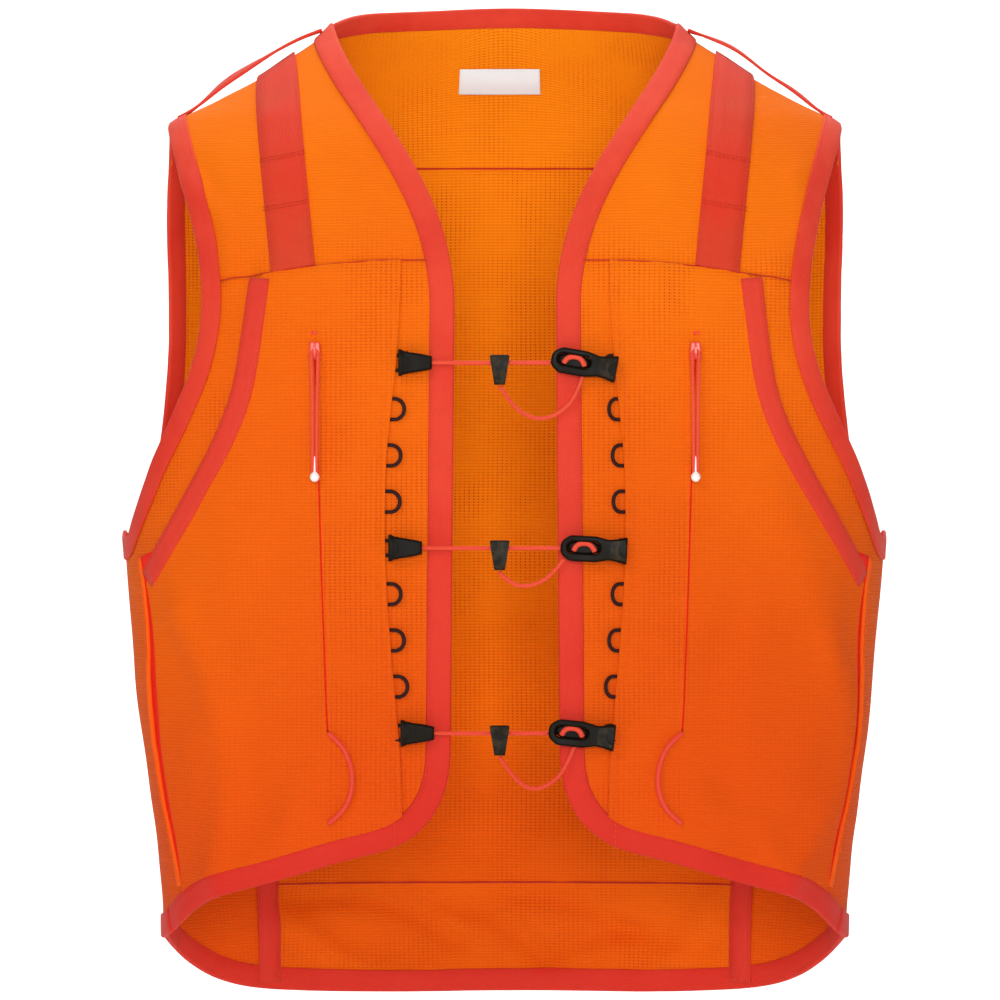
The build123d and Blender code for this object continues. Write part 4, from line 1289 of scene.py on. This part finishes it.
closure_rows = {0: "top", 4: "middle", 8: "bottom"}
for side, word in SIDES[::-1]:
    loops = []
    for i in range(LADDER_LOOPS):
        z = LADDER_TOP_Z - i * LADDER_PITCH
        high = HOOKED_HALF if i in closure_rows else LOOP_HALF
        line = route_points(ladder_loop(z, side, LADDER_REACH[word], high), 8)
        hooked = word == "right" and i in closure_rows
        name = f"ladder_loop_{closure_rows[i]}" if hooked else f"ladder_loop_{word}_{i}"
        made = tube(name, line, LADDER_D, cord_black, around=10, body=None if hooked else "vest")
        if hooked:  # this loop is the one that a buckle holds; it is kept with no parent and its placing is baked into its points
            start, end = line[0], line[np.argmin(line[:, 0])]
            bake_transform(made)
        else:
            loops.append(made)
    join(f"loop_ladder_{word}_cord", loops, [f"loop_ladder_{word}"])


# The bead's outline from its lowest point up its neck: radius and height.
BEAD = [
    (0.0, -2.7), (1.3, -2.4), (2.2, -1.5), (2.65, -0.2), (2.4, 1.2), (1.6, 2.2), (0.95, 2.9),
    (0.8, 4.5), (0.7, 7.5), (0.55, 10.2), (0.3, 11.2), (0.0, 11.4),
]
BEAD_DROP = 68.6


def turned_bead(name, centre, body, replaces):
    """A round bead whose neck narrows upwards round the cord."""
    around = 24
    points = [(0.0, 0.0, BEAD[0][1])]
    for radius, height in BEAD[1:-1]:
        points += [(radius * c, radius * v, height) for c, v in circle(around)]
    points.append((0.0, 0.0, BEAD[-1][1]))
    last = len(points) - 1
    faces = [tuple(i + 1 for i in f) for f in ring_faces(len(BEAD) - 2, around, False)[:-2]]
    faces += [(0, 1 + (k + 1) % around, 1 + k) for k in range(around)]
    faces += [(last, last - around + k, last - around + (k + 1) % around) for k in range(around)]
    points = np.array(points) + centre
    solid(name, points, faces, bead_white, body=body, replaces=replaces, slot="bead_white",
          values={"weave": points, "tone": np.ones(len(points))})


for side, word in SIDES:
    turned_bead(f"zip_bead_{word}_turned", (side * SLIDER_X, BRIDGE_Y, SLIDER_Z - BEAD_DROP),
                f"zip_pull_{word}", [f"zip_bead_{word}"])

ELASTIC_XZ = [
    (96, -392), (89.5, -397), (84.5, -406), (82.5, -417), (84.5, -428), (89.5, -436), (96, -441)
]
PULL_DROPS = (66, 40, 20, 7, 0)
PULL_SPREAD = (1.1, 1.25, 1.4, 1.8, 1.8)
for side, word in SIDES:
    elastic = [(side * x, cloth_y(x, z, 3.2, side) - 2.5 * math.sin(math.pi * i / 6), z)
               for i, (x, z) in enumerate(ELASTIC_XZ)]
    cord(f"elastic_loop_{word}_braid", elastic, CORD_D, "loose", "medium", body="vest",
         replaces=[f"elastic_loop_{word}"])
    up, down = ([(side * SLIDER_X + way * spread, BRIDGE_Y, SLIDER_Z - drop)
                 for spread, drop in zip(PULL_SPREAD, PULL_DROPS)] for way in (-1, 1))
    cord(f"zip_pull_{word}_braid", up + down[::-1], PULL_D, "hanging", "limp", body=f"zip_pull_{word}",
         replaces=[f"zip_pull_cord_{word}"], with_pieces=[f"zip_bead_{word}_turned"])

# ---------------------------------------------------------------- moulded parts
def oval(centre, across, upward, half_width, half_height, power=3.2):
    """A rounded rectangle's points round a centre, in the plane of two directions."""
    ring = []
    for c, v in circle(40):
        size = (abs(c) ** power + abs(v) ** power) ** (-1 / power)
        ring.append(centre + size * (c * half_width * across + v * half_height * upward))
    return ring


def moulded_piece(name, rings, closed, body):
    """A black moulded piece made of rings of points. Its ends are capped unless it is closed."""
    points = np.array(rings).reshape(-1, 3)
    solid(name, points, ring_faces(len(rings), len(rings[0]), closed), plastic_black, body=body,
          slot="plastic_black", values={"weave": points, "tone": np.zeros(len(points))})


def collar(name, end, ahead, upward, stretches, body):
    """A flared rim that is moulded round the end of a hook or a buckle, with the cord ahead of it."""
    deep = np.array([0.0, 1.0, 0.0])
    rings = [oval(np.array(end) + ahead * d, deep, upward, depth, high) for d, high, depth in stretches]
    moulded_piece(name, rings, True, body)


# The rims' sections: distance towards the cord, half height and half depth.
HOOK_RIM = [
    (-0.4, 6.5, 3.3), (-0.5, 7.1, 3.5), (0.2, 7.4, 3.7), (1.0, 7.2, 3.7), (2.2, 6.5, 3.5),
    (3.4, 6.1, 3.3), (4.2, 6.2, 3.3), (4.9, 5.9, 3.2), (5.4, 5.4, 3.0), (5.0, 5.2, 2.8), (1.0, 5.9, 2.9),
]
BUCKLE_RIM = [
    (0.0, 6.5, 3.1), (0.0, 7.0, 3.3), (0.6, 7.3, 3.4), (1.5, 7.2, 3.4), (2.6, 6.9, 3.4),
    (3.6, 6.7, 3.3), (4.4, 6.7, 3.3), (5.0, 6.2, 3.2), (4.6, 5.9, 3.0), (1.0, 6.3, 3.0),
]
# The floor that closes a buckle's window: height, and shares of its half width and half height.
WINDOW_HALF = (9.4, 3.5)
WINDOW = [
    (-0.4, 0.2, 0.1), (-0.4, 0.7, 0.7), (-0.4, 0.97, 0.96),
    (0.0, 1.0, 1.0), (0.4, 0.97, 0.96), (0.4, 0.2, 0.1),
]
for row, (edge, cord_y, z, tilt) in CLOSURES.items():
    body = f"closure_{row}"
    ahead, upward = tilted(0.0)
    collar(f"hook_rim_{row}", (HOOK_INSET - edge, cord_y, z), ahead, upward, HOOK_RIM, body)
    ahead, upward = tilted(tilt)
    half = BUCKLE_LENGTH / 2
    middle = np.array([edge + 1.5 - half, cord_y + 2.2, z - 0.1]) - 5.5 * ahead
    rings = [oval(middle + (0, y, 0), ahead, upward, WINDOW_HALF[0] * a, WINDOW_HALF[1] * b, 2.4)
             for y, a, b in WINDOW]
    moulded_piece(f"buckle_window_{row}", rings, False, body)
    end = np.array([edge + 1.5 - half, cord_y - 0.75, z - 0.7]) + half * ahead
    collar(f"buckle_rim_{row}", end, -ahead, upward, BUCKLE_RIM, body)

MOULDED = {"hook_": plastic_black, "buckle_": plastic_black, "keeper_": plastic_black,
           "zip_slider_": zip_plastic, "zip_bead_": bead_white}
for name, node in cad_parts.items():
    for start, material in MOULDED.items():
        if name.startswith(start):
            node.data.materials.clear()
            node.data.materials.append(material)
            if material is plastic_black:
                soft = node.modifiers.new("rounded", "BEVEL")
                soft.width, soft.segments, soft.angle_limit = 0.8 * MM, 3, math.radians(40)

# ---------------------------------------------------------------- floor and light
FLOOR_Z = -0.75


def plain(name, colour, rough):
    """A matt paint with a faint unevenness."""
    g = Graph(name)
    uneven = g.ramp(g.noise(2.0, 2.0), 0.3, 0.7, 0.0, 0.3)
    return g.finish(g.mix(uneven, colour, [0.97 * v for v in colour]), rough)


def backdrop():
    """A pale floor that curves up into a wall behind the vest."""
    half, back, bend = 6.0, 3.2, 1.2
    turns = [math.pi / 2 * i / 12 for i in range(13)]
    outline = [(-6.0, FLOOR_Z)]
    outline += [(back + bend * math.sin(t), FLOOR_Z + bend * (1 - math.cos(t))) for t in turns]
    outline += [(back + bend, 5.0)]
    points = np.array([(x, y, z) for y, z in outline for x in (-half, half)]) / MM
    faces = [(2 * i, 2 * i + 1, 2 * i + 3, 2 * i + 2) for i in range(len(outline) - 1)]
    paint = plain("backdrop_white", (0.93, 0.93, 0.93), 0.9)
    make_mesh("backdrop", points, faces, paint, body=None)


def soft_box(name, where, towards, size, power):
    """A large square lamp that points at a place."""
    lamp = bpy.data.lights.new(name, "AREA")
    lamp.size = size
    lamp.energy = power
    holder = bpy.data.objects.new(name, lamp)
    holder.location = where
    turn = (Vector(towards) - Vector(where)).to_track_quat("-Z", "Y")
    holder.rotation_euler = turn.to_euler()
    bpy.context.scene.collection.objects.link(holder)


backdrop()
world = bpy.data.worlds.new("studio")
world.use_nodes = True
world.node_tree.nodes["Background"].inputs["Color"].default_value = (1, 1, 1, 1)
world.node_tree.nodes["Background"].inputs["Strength"].default_value = 0.3
bpy.context.scene.world = world
MIDDLE = (0, 0, -0.28)
soft_box("key", (-1.0, -2.4, 1.1), MIDDLE, 1.1, 15)
soft_box("fill", (0.12, -3.3, 0.0), MIDDLE, 0.9, 50)
soft_box("top", (0.0, 0.3, 2.2), MIDDLE, 1.8, 14)
soft_box("wall_light", (0.0, 1.2, 2.6), (0, 4.2, 0.2), 2.4, 160)
